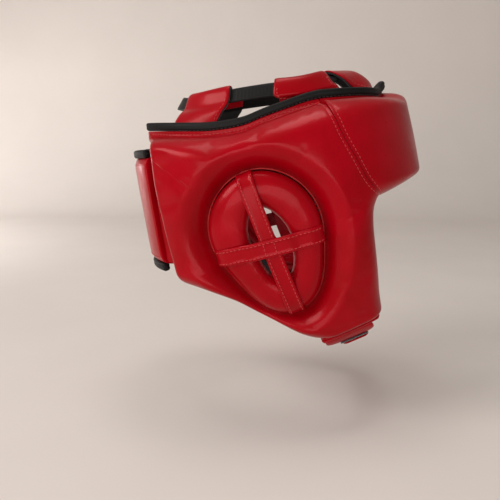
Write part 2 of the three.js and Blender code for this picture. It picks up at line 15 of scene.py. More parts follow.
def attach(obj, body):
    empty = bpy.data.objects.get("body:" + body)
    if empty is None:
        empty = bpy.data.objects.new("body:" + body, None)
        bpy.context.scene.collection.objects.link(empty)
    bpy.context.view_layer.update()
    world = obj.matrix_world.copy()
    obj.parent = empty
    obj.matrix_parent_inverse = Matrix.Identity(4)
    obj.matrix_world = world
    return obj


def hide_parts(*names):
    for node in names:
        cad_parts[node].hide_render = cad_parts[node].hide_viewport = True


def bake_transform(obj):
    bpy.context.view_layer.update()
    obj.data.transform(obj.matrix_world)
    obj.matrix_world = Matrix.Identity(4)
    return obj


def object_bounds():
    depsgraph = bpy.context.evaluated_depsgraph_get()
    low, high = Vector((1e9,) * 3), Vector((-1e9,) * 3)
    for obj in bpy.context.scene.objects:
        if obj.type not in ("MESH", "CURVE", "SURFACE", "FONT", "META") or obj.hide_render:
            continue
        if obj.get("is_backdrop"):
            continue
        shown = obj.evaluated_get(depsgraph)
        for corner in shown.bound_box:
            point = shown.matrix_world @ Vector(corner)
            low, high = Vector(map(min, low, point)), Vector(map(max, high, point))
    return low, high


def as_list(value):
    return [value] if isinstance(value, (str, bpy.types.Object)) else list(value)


MM = 0.001
SIDES = ((-1, "right"), (1, "left"))

# ------------------------------------------------------------------ dimensions shared with the CAD part

HEAD = dict(
    power=2.4, centre_y=5, half_width=76, widest_z=30, narrows_above=0.0028, narrows_below=0.0012,
    front=107, leans_above=0.16, brow_z=45, cheek_z=25, spreads_below=0.17, rear=92.8, rear_lean=0.165,
    blend=20,
)
PAD = dict(full=28, edge=4.5, lining=1.5)

# Edges of a side panel seen from the side, as (y, z): its points, its flat sewn margin, the width of
# the roll down to it, the share of the height left at the edge, and how crisp the roll's shoulder is.
EDGES = {
    "top": dict(
        points=[(98.5, 84), (70, 83), (44, 83), (20, 86.5), (2, 93.5), (-16, 100), (-30, 105), (-41, 108)],
        flange=5, roll=22, rear_roll=12, lowest=0, crisp=1.75,
    ),
    "seam": dict(
        points=[(-41, 108), (-43.5, 94), (-49.5, 77.5), (-58, 61), (-68.5, 42), (-81, 31)],
        flange=0, roll=2.5, lowest=0.985, crisp=2,
    ),
    "face": dict(
        points=[(-81, 31), (-78.5, 24), (-79, 10), (-82, -10), (-85, -30), (-87.5, -47), (-91, -62)],
        flange=0, roll=14, lowest=0, crisp=2,
    ),
    "chin": dict(points=[(-91, -62), (-45, -82)], flange=0, roll=7, lowest=0, crisp=2),
    "bottom": dict(
        points=[(-45, -82), (-28, -77), (4, -61), (24, -49.5), (46, -41), (66, -36)],
        flange=0, roll=13, lowest=0, crisp=2,
    ),
    "rear": dict(
        points=[(66, -36), (70, -18), (75.5, 8), (81.5, 36), (86, 60), (89.5, 70.5), (96.5, 76), (98.5, 84)],
        flange=0, roll=10, lowest=0, crisp=1.12,
    ),
}
# Where along Y the roll of the top edge narrows to its rear width.
REAR_ROLL = dict(start=38, length=34)
FOREHEAD = dict(
    half_length=75, seam_gap=0.2, top_z=112.5, bottom_z=42, top_fall=2, bottom_fall=8, pull=7, pull_width=0.14,
    top_full=25, bottom_full=32, top_roll=8, bottom_roll=9, flange=3,
)
EAR = dict(y=-5.2, z=-3.2, long=58, short=41, lean=21.5, fullness=0.22, edge=8, roll=17)
EAR_HOLE = dict(y=-6.4, z=-2, long=29.5, short=14.5, lean=21.5, fullness=0.1)
RING = dict(gap=1.3, middle=13, rise=9)
EAR_STRAP = dict(
    thick=1.6, clear=0.9, end_gap=2.3, upright=12.5, level=13.5, slope=15, lift=2, down_from=22, down_over=10,
)
# Cloth that fills the padded skins: SI stiffnesses, and slack as a share of its length.
CLOTH = dict(quality=4, mass=0.5, stretch=30, shear=8, bend=4, slack=0.003, pressure=4, frames=20, cap=1.1)
BINDING = dict(knob=4.5, knob_width=0.13, half_high=3.4, half_thick=3.2, middle=3.1, gap=0.3)
WEBBING = dict(
    points=[
        (0, -55, 131), (-20, -53.5, 129.5), (-38, -47, 125.5), (-51, -27, 119.5), (-54, 0, 116.5),
        (-51, 32, 112), (-37, 62, 107), (0, 80.5, 109),
    ],
    high=12, thick=1.6, front_slope=100, side_slope=24, rear_slope=30,
)
LOOPS = {
    "front": dict(webbing=(-0.13, 0.13), edge=(-0.11, 0.11), bow=-4, dome=8),
    "front_side": dict(webbing=(0.195, 0.43), edge=(0.34, 0.54), bow=2, dome=0),
    "rear_side": dict(webbing=(0.61, 0.82), edge=(0.71, 0.865), bow=2, dome=0),
}
LOOP = dict(leather=1.5, lining=0.8, half_gap=0.15, fold=3, over=1.8, under=1.5, inner_leg=8, inset=2.8, foot=5, lip=6)
FLAP = dict(
    bottom_z=-25, top_z=62, hem=6, binding=7, root=((76, -37), (93, 69)),
    outer=dict(side=-1, inside=5.8, patch=1, patch_start=6 / 14, padding=5.3, skin=1.5, reach=38),
    inner=dict(side=1, inside=1, leather=2.4, patch=1.3, patch_start=4 / 14, reach=30),
)
CHIN = dict(
    y=-68, z=-74, tilt=25.4, half_span=64, power=6, start_depth=9.5, sag=15, wide=25,
    root_back=-24, root_front=20, root_from=53,
    tab=dict(depths=(-5.2, -3.4), ends=(-62.5, -10)),
    loop=dict(depths=(-3.1, -2.1), ends=(-52, -12)),
    hook=dict(depths=(-1.8, -0.8), ends=(-38, -6)),
    strap=dict(depths=(-0.5, 1.3), ends=(-38, 62.5)),
)
CHIN_BAND = dict(inside=1, outside=14, high=6, gap=0.8)

# ------------------------------------------------------------------ looks

STITCH = dict(length=2.5, pitch=3.3, radius=0.3, sink=0.05)
CAMERA = dict(place=(-574.2, -30.1, 77), heading=4.83, pitch=9.95, lens=45.14, sensor=36)
FLOOR_Z = -165
COVER_ROWS = 46

# ------------------------------------------------------------------ small helpers


def mix(a, b, share):
    return a + (b - a) * share


def clip01(x):
    return np.clip(x, 0, 1)


def smooth_step(x):
    x = clip01(x)
    return x * x * (3 - 2 * x)


def unit(v):
    return v / np.maximum(np.linalg.norm(v, axis=-1, keepdims=True), 1e-12)


def soft_ramp(x):
    """0 well below zero and x well above it, with a soft bend between."""
    return (x + np.hypot(x, HEAD["blend"])) / 2


def signed_power(value, power):
    return np.sign(value) * np.abs(value) ** power


class Line:
    """A run of points with its length, read at shares of that length."""

    def __init__(self, points):
        self.points = np.asarray(points, float)
        steps = np.linalg.norm(np.diff(self.points, axis=0), axis=1)
        self.lengths = np.concatenate([[0], np.cumsum(steps)])
        self.length = self.lengths[-1]

    def at(self, share):
        s = np.asarray(share, float) * self.length
        return np.stack([np.interp(s, self.lengths, c) for c in self.points.T], axis=-1)

    def even(self, step):
        return self.at(np.linspace(0, 1, max(2, round(self.length / step) + 1)))


def spline(points, closed=False, centripetal=True, per_span=32):
    """The Catmull-Rom curve through points, as a dense line of the kind that the CAD part uses."""
    p = np.asarray(points, float)
    if closed:
        padded = np.vstack([p[-1], p, p[0], p[1]])
    elif centripetal:
        padded = np.vstack([2 * p[0] - p[1], p, 2 * p[-1] - p[-2]])
    else:
        padded = np.vstack([p[0], p, p[-1]])
    t = np.linspace(0, 1, per_span, endpoint=False)[:, None]
    spans = []
    for a, b, c, d in zip(padded, padded[1:], padded[2:], padded[3:]):
        if centripetal:
            first, middle, last = (max(np.linalg.norm(v), 1e-8) ** 0.5 for v in (b - a, c - b, d - c))
            leave = (b - a) / first - (c - a) / (first + middle) + (c - b) / middle
            arrive = (c - b) / middle - (d - b) / (middle + last) + (d - c) / last
            leave, arrive = leave * middle, arrive * middle
        else:
            leave, arrive = (c - a) / 2, (d - b) / 2
        bend = 2 * b - 2 * c + leave + arrive
        sag = 3 * c - 3 * b - 2 * leave - arrive
        spans.append(bend * t**3 + sag * t**2 + leave * t + b)
    spans.append(padded[-2][None] if not closed else p[:1])
    return Line(np.vstack(spans))


def wobble(points, size, seed=0):
    """Smooth noise between -1 and 1 at points in mm, with waves about size mm across."""
    flat = points.reshape(-1, 3) / size + seed * 17.3
    values = [noise.noise(Vector(p)) for p in flat]
    return np.array(values).reshape(points.shape[:-1])


# ------------------------------------------------------------------ the head surface


def oval_at(z):
    above = z - HEAD["widest_z"]
    narrows = np.where(above > 0, HEAD["narrows_above"], HEAD["narrows_below"])
    half_width = HEAD["half_width"] - narrows * above**2
    leans = HEAD["leans_above"] * soft_ramp(z - HEAD["brow_z"])
    spreads = HEAD["spreads_below"] * soft_ramp(HEAD["cheek_z"] - z)
    return half_width, HEAD["front"] - leans + spreads, HEAD["rear"] + HEAD["rear_lean"] * z


def head_point(angle, z):
    """Angle 0 is the front, and positive angles go round by the +X side."""
    half_width, front, rear = oval_at(z)
    forward = signed_power(np.cos(angle), 2 / HEAD["power"])
    x = half_width * signed_power(np.sin(angle), 2 / HEAD["power"])
    y = HEAD["centre_y"] - np.where(forward > 0, front, rear) * forward
    return np.stack([x, y, z + 0 * x], axis=-1)


def head_normal(angle, z):
    step = 0.02
    round_head = head_point(angle + step, z) - head_point(angle - step, z)
    up = head_point(angle, z + 1) - head_point(angle, z - 1)
    return unit(np.cross(round_head, up))


def wrap(angle, z, out):
    angle, z = np.broadcast_arrays(np.asarray(angle, float), np.asarray(z, float))
    return head_point(angle, z) + head_normal(angle, z) * np.asarray(out)[..., None]


def angle_of(y, z):
    """The angle at which the head surface has the given y, on the +X side."""
    _, front, rear = oval_at(z)
    forward = HEAD["centre_y"] - y
    share = clip01(np.abs(forward) / np.where(forward > 0, front, rear)) ** (HEAD["power"] / 2)
    return np.arccos(np.sign(forward) * share)


def side_point(side, places, out):
    """places are (y, z), and side is -1 for the wearer's right and 1 for their left."""
    y, z = places[..., 0], places[..., 1]
    return wrap(angle_of(y, z), z, out) * np.array([side, 1, 1])


# ------------------------------------------------------------------ meshes


def add_mesh(name, verts, faces, material, attributes=None, uv=None):
    mesh = bpy.data.meshes.new(name)
    mesh.from_pydata((np.asarray(verts) * MM).tolist(), [], faces)
    mesh.polygons.foreach_set("use_smooth", [True] * len(mesh.polygons))
    for key, values in (attributes or {}).items():
        layer = mesh.attributes.new(key, "FLOAT", "POINT")
        layer.data.foreach_set("value", np.asarray(values, np.float32).ravel())
    if uv is not None:
        layer = mesh.uv_layers.new(name="Flat")
        loops = np.zeros(len(mesh.loops), np.int32)
        mesh.loops.foreach_get("vertex_index", loops)
        layer.data.foreach_set("uv", np.asarray(uv, np.float32).reshape(-1, 2)[loops].ravel())
    mesh.materials.append(material)
    mesh.validate()
    mesh.update()
    piece = bpy.data.objects.new(name, mesh)
    bpy.context.scene.collection.objects.link(piece)
    return piece


def subdivide(piece, levels=1):
    modifier = piece.modifiers.new("Smooth", "SUBSURF")
    modifier.levels = levels
    modifier.render_levels = levels
    return piece


def settle(piece, held, cap):
    """Lets a padded skin fill and crease as cloth: held is 1 where it is sewn down, cap is the most that a
    point may move, in millimetres."""
    scene = bpy.context.scene
    sewn = piece.vertex_groups.new(name="sewn")
    for index, weight in enumerate(np.ravel(held)):
        sewn.add([index], float(weight), "REPLACE")
    cloth = piece.modifiers.new("Cloth", "CLOTH")
    settings = cloth.settings
    settings.quality = CLOTH["quality"]
    settings.mass = CLOTH["mass"]
    settings.tension_stiffness = settings.compression_stiffness = CLOTH["stretch"]
    settings.shear_stiffness = CLOTH["shear"]
    settings.bending_stiffness = CLOTH["bend"]
    settings.shrink_min = -CLOTH["slack"]
    settings.use_pressure = True
    settings.uniform_pressure_force = CLOTH["pressure"]
    settings.vertex_group_mass = sewn.name
    settings.effector_weights.gravity = 0
    for frame in range(1, CLOTH["frames"] + 1):
        scene.frame_set(frame)
    start = np.zeros(len(piece.data.vertices) * 3, np.float32)
    moved = start.copy()
    piece.data.vertices.foreach_get("co", start)
    piece.evaluated_get(bpy.context.evaluated_depsgraph_get()).data.vertices.foreach_get("co", moved)
    step = (moved - start).reshape(-1, 3)
    length = np.linalg.norm(step, axis=1, keepdims=True)
    step *= cap * MM / (cap * MM + length)
    piece.modifiers.remove(cloth)
    piece.vertex_groups.remove(sewn)
    piece.data.vertices.foreach_set("co", start + step.ravel())
    piece.data.update()
    scene.frame_set(1)
    print("settled", piece.name, "largest step", float(np.linalg.norm(step, axis=1).max() / MM), "raw", float(length.max() / MM))
    return piece


def finish_piece(piece, body, slot, nodes=()):
    if body:
        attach(piece, body)
    if nodes:
        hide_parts(*nodes)
    return piece


def grid_faces(rows, columns, closed_rows=False, closed_columns=False):
    i = np.arange(rows if closed_rows else rows - 1)[:, None]
    k = np.arange(columns if closed_columns else columns - 1)[None, :]
    a = i * columns + k
    b = i * columns + (k + 1) % columns
    c = ((i + 1) % rows) * columns + (k + 1) % columns
    d = ((i + 1) % rows) * columns + k
    return np.stack([a, b, c, d], axis=-1).reshape(-1, 4).tolist()


def flat_uv(grid):
    """Lengths along and across a grid of points, in metres, as its flat pattern."""
    along = np.linalg.norm(np.diff(grid, axis=0), axis=-1).mean(1)
    across = np.linalg.norm(np.diff(grid, axis=1), axis=-1).mean(0)
    u = np.concatenate([[0], np.cumsum(along)]) * MM
    v = np.concatenate([[0], np.cumsum(across)]) * MM
    return np.stack(np.meshgrid(u, v, indexing="ij"), axis=-1)


def outward(faces, verts, caps=()):
    """All the faces of a closed mesh of quads and its end caps, turned round if it is inside out."""
    corners = np.asarray(verts)[np.asarray(faces)]
    a, b, c, d = (corners[:, i] - np.asarray(verts).mean(0) for i in range(4))
    volume = np.einsum("ij,ij->i", a, np.cross(b, c)) + np.einsum("ij,ij->i", a, np.cross(c, d))
    whole = [list(face) for face in faces] + [list(cap) for cap in caps]
    return whole if volume.sum() > 0 else [face[::-1] for face in whole]


def slab(name, mid, normal, near, far, material, closed=False):
    """A sheet of leather or tape: mid is a grid of points along and across it, and it reaches from near
    to far along their normals."""
    rows, width = mid.shape[:2]
    near = np.broadcast_to(near, (rows, width))[..., None]
    far = np.broadcast_to(far, (rows, width))[..., None]
    ring = np.concatenate([mid + normal * far, (mid + normal * near)[:, ::-1]], axis=1)
    verts = ring.reshape(-1, 3)
    faces = grid_faces(rows, 2 * width, closed, True)
    if not closed:
        last = (rows - 1) * 2 * width
        for k in range(width - 1):
            pair = 2 * width - 1 - k
            faces.append([k, pair, pair - 1, k + 1])
            faces.append([last + k, last + k + 1, last + pair - 1, last + pair])
    pattern = flat_uv(mid)
    uv = np.concatenate([pattern, pattern[:, ::-1]], axis=1)
    return add_mesh(name, verts, outward(faces, verts), material, uv=uv)


def surface_normals(grid, closed=False):
    """Normals of a grid of points, by the way its rows and columns run."""
    if closed:
        along = np.roll(grid, -1, axis=0) - np.roll(grid, 1, axis=0)
    else:
        along = np.gradient(grid, axis=0)
    across = np.gradient(grid, axis=1)
    return unit(np.cross(along, across))


def tube(name, points, radius, material, sides=12, closed=False, squash=None, up=None):
    """A round bar along points. squash scales it along up, where both are given."""
    rows = len(points)
    if closed:
        tangent = unit(np.roll(points, -1, axis=0) - np.roll(points, 1, axis=0))
    else:
        tangent = unit(np.gradient(points, axis=0))
    up = np.array([0.0, 0, 1]) if up is None else up
    first = unit(np.cross(tangent, up))
    second = unit(np.cross(first, tangent))
    turn = np.linspace(0, 2 * math.pi, sides, endpoint=False)
    tall = radius * (squash or 1)
    ring = (
        points[:, None]
        + first[:, None] * (np.cos(turn) * radius)[None, :, None]
        + second[:, None] * (np.sin(turn) * tall)[None, :, None]
    )
    faces = grid_faces(rows, sides, closed, True)
    verts = ring.reshape(-1, 3)
    if not closed:
        verts = np.vstack([verts, points[:1], points[-1:]])
        start, end = len(verts) - 2, len(verts) - 1
        last = (rows - 1) * sides
        faces = [list(f) for f in faces]
        faces += [[start, (k + 1) % sides, k] for k in range(sides)]
        faces += [[end, last + k, last + (k + 1) % sides] for k in range(sides)]
    return add_mesh(name, verts, faces, material)


# ------------------------------------------------------------------ materials


class Shader:
    """A node tree built by short calls, ending in one Principled shader."""

    def __init__(self, name, **constants):
        self.material = bpy.data.materials.new(name)
        self.material.use_nodes = True
        self.nodes = self.material.node_tree.nodes
        self.links = self.material.node_tree.links
        self.shader = self.nodes["Principled BSDF"]
        for socket, value in constants.items():
            self.shader.inputs[socket.replace("_", " ")].default_value = value

    def node(self, kind, settings=(), **inputs):
        node = self.nodes.new(kind)
        for key, value in dict(settings).items():
            setattr(node, key, value)
        for key, value in inputs.items():
            socket = node.inputs[int(key[1:])] if key[1:].isdigit() else node.inputs[key.replace("_", " ")]
            self.join(value, socket)
        return node

    def join(self, value, socket):
        if isinstance(value, bpy.types.NodeSocket):
            self.links.new(value, socket)
        else:
            socket.default_value = value

    def place(self, scale=(1, 1, 1), flat=False):
        """Object coordinates in metres, or the piece's flat pattern, scaled."""
        coordinates = self.node("ShaderNodeTexCoord").outputs["UV" if flat else "Object"]
        return self.node("ShaderNodeMapping", Vector=coordinates, Scale=scale).outputs[0]

    def noise(self, size, detail=3, rough=0.55, where=None):
        where = where or self.place()
        return self.node(
            "ShaderNodeTexNoise", Vector=where, Scale=1 / (size * MM), Detail=detail, Roughness=rough
        ).outputs[0]

    def cells(self, size, feature="F1", where=None):
        where = where or self.place()
        node = self.node("ShaderNodeTexVoronoi", {"feature": feature}, Vector=where, Scale=1 / (size * MM))
        return node.outputs["Distance"]

    def math(self, operation, a, b=0.0, clamp=False):
        return self.node("ShaderNodeMath", {"operation": operation, "use_clamp": clamp}, _0=a, _1=b).outputs[0]

    def ramp(self, value, low, high, to_low=0.0, to_high=1.0):
        return self.node(
            "ShaderNodeMapRange", Value=value, From_Min=low, From_Max=high, To_Min=to_low, To_Max=to_high
        ).outputs[0]

    def blend(self, share, a, b):
        node = self.node("ShaderNodeMix", {"data_type": "RGBA"}, _0=share)
        self.join(a, node.inputs[6])
        self.join(b, node.inputs[7])
        return node.outputs[2]

    def attribute(self, name):
        return self.node("ShaderNodeAttribute", {"attribute_name": name}).outputs["Fac"]

    def bump(self, height, depth, strength=1.0, under=None):
        node = self.node("ShaderNodeBump", Height=height, Distance=depth * MM, Strength=strength)
        if under is not None:
            self.join(under, node.inputs["Normal"])
        return node.outputs[0]

    def finish(self, **links):
        for socket, value in links.items():
            self.join(value, self.shader.inputs[socket.replace("_", " ")])
        return self.material


def leather_material(name, colour, deep, worn_edge_and_highlight):
    """Smooth glossy leather: fine pores, soft creases where it is sewn, a little tonal variation, painted shade in
    grooves and along seams, and a pale rim band that is partly worn edge and partly painted highlight.
    """
    s = Shader(
        name, Specular_IOR_Level=0.38, Specular_Tint=(1, 0.1, 0.12, 1), Coat_Weight=0.14, Coat_Roughness=0.14
    )
    broad = s.ramp(s.noise(34, 2), 0.35, 0.68)
    fine = s.ramp(s.noise(3.2, 4), 0.3, 0.72)
    shade = s.blend(broad, (*colour, 1), (*deep, 1))
    # Paler rim band: partly the leather's worn edge colour and partly a painted highlight along the ear opening's rim.
    edge = s.math("MULTIPLY", s.attribute("worn_edge_and_highlight"), s.ramp(fine, 0, 1, 0.25, 1))
    tone = s.blend(s.math("MULTIPLY", edge, 0.6), shade, (*worn_edge_and_highlight, 1))
    # Painted shade: the fold attribute darkens the colour in grooves and along seams, where shade falls.
    fold = s.math("MULTIPLY", s.attribute("fold"), 0.5)
    tone = s.blend(fold, tone, (deep[0] * 0.45, deep[1] * 0.45, deep[2] * 0.45, 1))
    pores = s.cells(1.05)
    crease_place = s.place((1, 1, 0.55))
    creases = s.ramp(s.cells(5.5, "DISTANCE_TO_EDGE", crease_place), 0.0, 0.09)
    crinkle = s.noise(2.3, 2, 0.5, s.place((1, 1, 0.5)))
    normal = s.bump(s.noise(24, 2), 0.9, 0.35)
    normal = s.bump(s.noise(7, 3), 0.25, 0.35, normal)
    normal = s.bump(creases, 0.12, s.math("ADD", s.math("MULTIPLY", s.attribute("crinkle"), 0.5), 0.1), normal)
    normal = s.bump(crinkle, 0.5, s.math("MULTIPLY", s.attribute("crinkle"), 0.75), normal)
    normal = s.bump(pores, 0.05, 0.3, normal)
    roughness = s.ramp(s.math("ADD", fine, broad), 0, 2, 0.27, 0.4)
    return s.finish(Base_Color=tone, Roughness=roughness, Normal=normal)


def tape_material(name, colour, rib, sheen):
    """Woven tape: ribs across its length and a fine diagonal twill."""
    s = Shader(name, Specular_IOR_Level=0.2, Sheen_Weight=sheen, Sheen_Roughness=0.4)
    flat = s.place(flat=True)
    ribs = s.node(
        "ShaderNodeTexWave", {"bands_direction": "X"}, Vector=flat, Scale=1 / (rib * MM * 6.28), Distortion=0.4
    ).outputs["Fac"]
    twill = s.node(
        "ShaderNodeTexWave", {"bands_direction": "DIAGONAL"}, Vector=flat, Scale=1 / (0.55 * MM * 6.28),
        Distortion=0.6,
    ).outputs["Fac"]
    lint = s.ramp(s.noise(1.6, 4), 0.45, 0.8)
    tone = s.blend(s.math("MULTIPLY", lint, 0.55), (*colour, 1), tuple(c * 1.8 + 0.002 for c in colour) + (1,))
    normal = s.bump(ribs, 0.14, 0.6)
    normal = s.bump(twill, 0.08, 0.5, normal)
    return s.finish(Base_Color=tone, Roughness=s.ramp(lint, 0, 1, 0.5, 0.62), Normal=normal)


def cloth_material(name, colour, thread=0.7):
    """Plain woven lining cloth."""
    s = Shader(name, Specular_IOR_Level=0.3, Sheen_Weight=0.25, Sheen_Roughness=0.5)
    where = s.place()
    warp = s.node(
        "ShaderNodeTexWave", {"bands_direction": "Z"}, Vector=where, Scale=1 / (thread * MM * 6.28), Distortion=0.5
    ).outputs["Fac"]
    weft = s.node(
        "ShaderNodeTexWave", {"bands_direction": "Y"}, Vector=where, Scale=1 / (thread * MM * 6.28), Distortion=0.5
    ).outputs["Fac"]
    weave = s.math("MULTIPLY", warp, weft)
    mottle = s.ramp(s.noise(9, 4), 0.35, 0.7)
    light = tuple(c * 1.9 + 0.003 for c in colour)
    tone = s.blend(s.math("MULTIPLY", mottle, 0.6), (*colour, 1), (*light, 1))
    normal = s.bump(s.noise(14, 3), 0.7, 0.4)
    normal = s.bump(weave, 0.16, 0.6, normal)
    return s.finish(Base_Color=tone, Roughness=s.ramp(mottle, 0, 1, 0.72, 0.86), Normal=normal)


def fuzzy_material(name, colour):
    """Hook-and-loop tape: a dense mat of small loops."""
    s = Shader(name, Specular_IOR_Level=0.25, Sheen_Weight=0.6, Sheen_Roughness=0.6)
    mat = s.noise(0.9, 5, 0.7)
    loops = s.cells(1.3)
    tone = s.blend(s.ramp(mat, 0.35, 0.7), (*colour, 1), tuple(c * 3 + 0.006 for c in colour) + (1,))
    normal = s.bump(loops, 0.5, 0.8)
    normal = s.bump(mat, 0.5, 0.9, normal)
    return s.finish(Base_Color=tone, Roughness=s.ramp(mat, 0.3, 0.7, 0.8, 0.95), Normal=normal)


def thread_material(name, colour):
    """Twisted sewing thread."""
    s = Shader(name, Specular_IOR_Level=0.4, Sheen_Weight=0.3, Sheen_Roughness=0.4)
    twist = s.node(
        "ShaderNodeTexWave", {"bands_direction": "DIAGONAL"}, Vector=s.place(), Scale=1 / (0.5 * MM * 6.28),
        Distortion=0.8,
    ).outputs["Fac"]
    light = tuple(min(1, c * 1.5 + 0.01) for c in colour)
    tone = s.blend(twist, (*colour, 1), (*light, 1))
    return s.finish(Base_Color=tone, Roughness=s.ramp(twist, 0, 1, 0.45, 0.6), Normal=s.bump(twist, 0.1, 0.6))


def stage_material(name, colour):
    s = Shader(name, Specular_IOR_Level=0.2)
    speck = s.ramp(s.noise(180, 3), 0.3, 0.7)
    tone = s.blend(speck, (*colour, 1), tuple(c * 0.97 for c in colour) + (1,))
    return s.finish(Base_Color=tone, Roughness=s.ramp(speck, 0, 1, 0.7, 0.8))


# ------------------------------------------------------------------ camera, light and stage


def add_camera():
    data = bpy.data.cameras.new("Camera")
    data.lens = CAMERA["lens"]
    data.sensor_width = CAMERA["sensor"]
    camera = bpy.data.objects.new("Camera", data)
    heading, pitch = math.radians(CAMERA["heading"]), math.radians(CAMERA["pitch"])
    looks = Vector(
        (math.cos(heading) * math.cos(pitch), math.sin(heading) * math.cos(pitch), -math.sin(pitch))
    )
    camera.location = Vector(CAMERA["place"]) * MM
    camera.rotation_euler = looks.to_track_quat("-Z", "Y").to_euler()
    bpy.context.scene.collection.objects.link(camera)
    bpy.context.scene.camera = camera


def add_light(name, place, target, size, power, colour):
    data = bpy.data.lights.new(name, "AREA")
    data.shape = "RECTANGLE"
    data.size, data.size_y = size
    data.energy = power
    data.color = colour
    light = bpy.data.objects.new(name, data)
    light.location = place
    light.rotation_euler = (Vector(target) - Vector(place)).to_track_quat("-Z", "Y").to_euler()
    bpy.context.scene.collection.objects.link(light)


def add_lights():
    add_light("Window", (-0.85, 1.3, 1.0), (0, 0, 0.03), (0.9, 0.8), 16, (1.0, 0.96, 0.92))
    add_light("Overhead", (-0.1, 0.1, 1.7), (0, 0, 0), (0.9, 0.9), 9.5, (1.0, 0.98, 0.95))
    add_light("Fill", (-1.5, 0.1, 0.15), (0, 0, -0.02), (1.6, 0.62), 9.5, (1.0, 0.97, 0.95))
    add_light("Wall_wash", (0.9, 1.3, 0.05), (1.5, 0.6, -0.16), (1.2, 0.3), 7, (1.0, 0.97, 0.95))
    world = bpy.data.worlds.new("World")
    world.use_nodes = True
    background = world.node_tree.nodes["Background"]
    background.inputs["Color"].default_value = (0.93, 0.9, 0.87, 1)
    background.inputs["Strength"].default_value = 0.3
    bpy.context.scene.world = world
    bpy.context.scene.view_settings.view_transform = "Standard"


def add_stage():
    """A floor that turns up into a wall in one soft bend."""
    bend, wall_x, half_wide, high = 500, 1850, 3200, 2600
    turn = np.linspace(0, math.pi / 2, 17)
    arc = np.stack([wall_x - bend + bend * np.sin(turn), FLOOR_Z + bend * (1 - np.cos(turn))], axis=-1)
    profile = np.vstack([[-3000, FLOOR_Z], arc, [wall_x, high]])
    ys = np.array([-half_wide, half_wide])
    grid = np.stack(
        [
            np.broadcast_to(profile[:, 0:1], (len(profile), 2)),
            np.broadcast_to(ys, (len(profile), 2)),
            np.broadcast_to(profile[:, 1:2], (len(profile), 2)),
        ],
        axis=-1,
    )
    faces = [face[::-1] for face in grid_faces(len(profile), 2)]
    sweep = add_mesh("stage_sweep", grid.reshape(-1, 3), faces, stage_material("pale_wall", (0.76, 0.695, 0.65)))
    sweep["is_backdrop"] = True


# ------------------------------------------------------------------ side panels

EDGE_LINES = {name: spline(edge["points"], centripetal=False) for name, edge in EDGES.items()}


def distance_to(places, points):
    """Distance from each (y, z) place to a run of points."""
    flat = places.reshape(-1, 2)
    nearest = np.full(len(flat), np.inf)
    for start, end in zip(points[:-1], points[1:]):
        along = end - start
        share = clip01(((flat - start) @ along) / (along @ along))
        gap = flat - start - share[:, None] * along
        nearest = np.minimum(nearest, np.hypot(gap[:, 0], gap[:, 1]))
    return nearest.reshape(places.shape[:-1])


def roll(distance, edge):
    share = clip01((distance - edge["flange"]) / edge["roll"])
    crisp = edge["crisp"]
    return mix(edge["lowest"], 1, (1 - (1 - share) ** crisp) ** (1 / crisp))


def ear_radius(ear, turn):
    """Distance from the centre of an ear outline to its edge, at a turn from the +Y direction."""
    from_top = turn - math.radians(90 - ear["lean"])
    ellipse = 1 / np.hypot(np.cos(from_top) / ear["long"], np.sin(from_top) / ear["short"])
    return ellipse * (1 + ear["fullness"] * np.cos(from_top) * np.sin(from_top) ** 2)


def ear_place(turn, radius):
    return np.stack([EAR["y"] + radius * np.cos(turn), EAR["z"] + radius * np.sin(turn)], axis=-1)


def from_ear(places):
    dy, dz = places[..., 0] - EAR["y"], places[..., 1] - EAR["z"]
    return np.hypot(dy, dz), np.arctan2(dz, dy)


def side_height(places):
    """How far the cover of a side panel stands off the head."""
    share = 1.0
    to_rear = clip01((places[..., 0] - REAR_ROLL["start"]) / REAR_ROLL["length"])
    for name, edge in EDGES.items():
        width = mix(edge["roll"], edge.get("rear_roll", edge["roll"]), to_rear)
        share = share * roll(distance_to(places, EDGE_LINES[name].even(3)), {**edge, "roll": width})
    radius, turn = from_ear(places)
    clear = np.maximum(0, radius - ear_radius(EAR, turn))
    ear_share = np.sin(clip01(clear / EAR["roll"]) * math.pi / 2)
    height = mix(PAD["edge"], PAD["full"], share)
    return mix(np.minimum(EAR["edge"], height), height, ear_share)


def side_outline(step=2.6):
    runs = [line.even(step)[:-1] for line in EDGE_LINES.values()]
    return np.vstack(runs)


def groove(distance, at, wide, deep):
    """A soft channel that runs at a distance from an edge."""
    return -deep * np.exp(-(((distance - at) / wide) ** 2))


def facing_out(verts, faces):
    """Turns the faces round if an open sheet looks in at the middle of the head."""
    corners = np.asarray(verts)[np.asarray(faces)]
    normal = np.cross(corners[:, 2] - corners[:, 0], corners[:, 3] - corners[:, 1])
    away = corners.mean(1) - np.array([0, HEAD["centre_y"], 20])
    return faces if np.einsum("ij,ij->i", normal, away).sum() > 0 else [face[::-1] for face in faces]


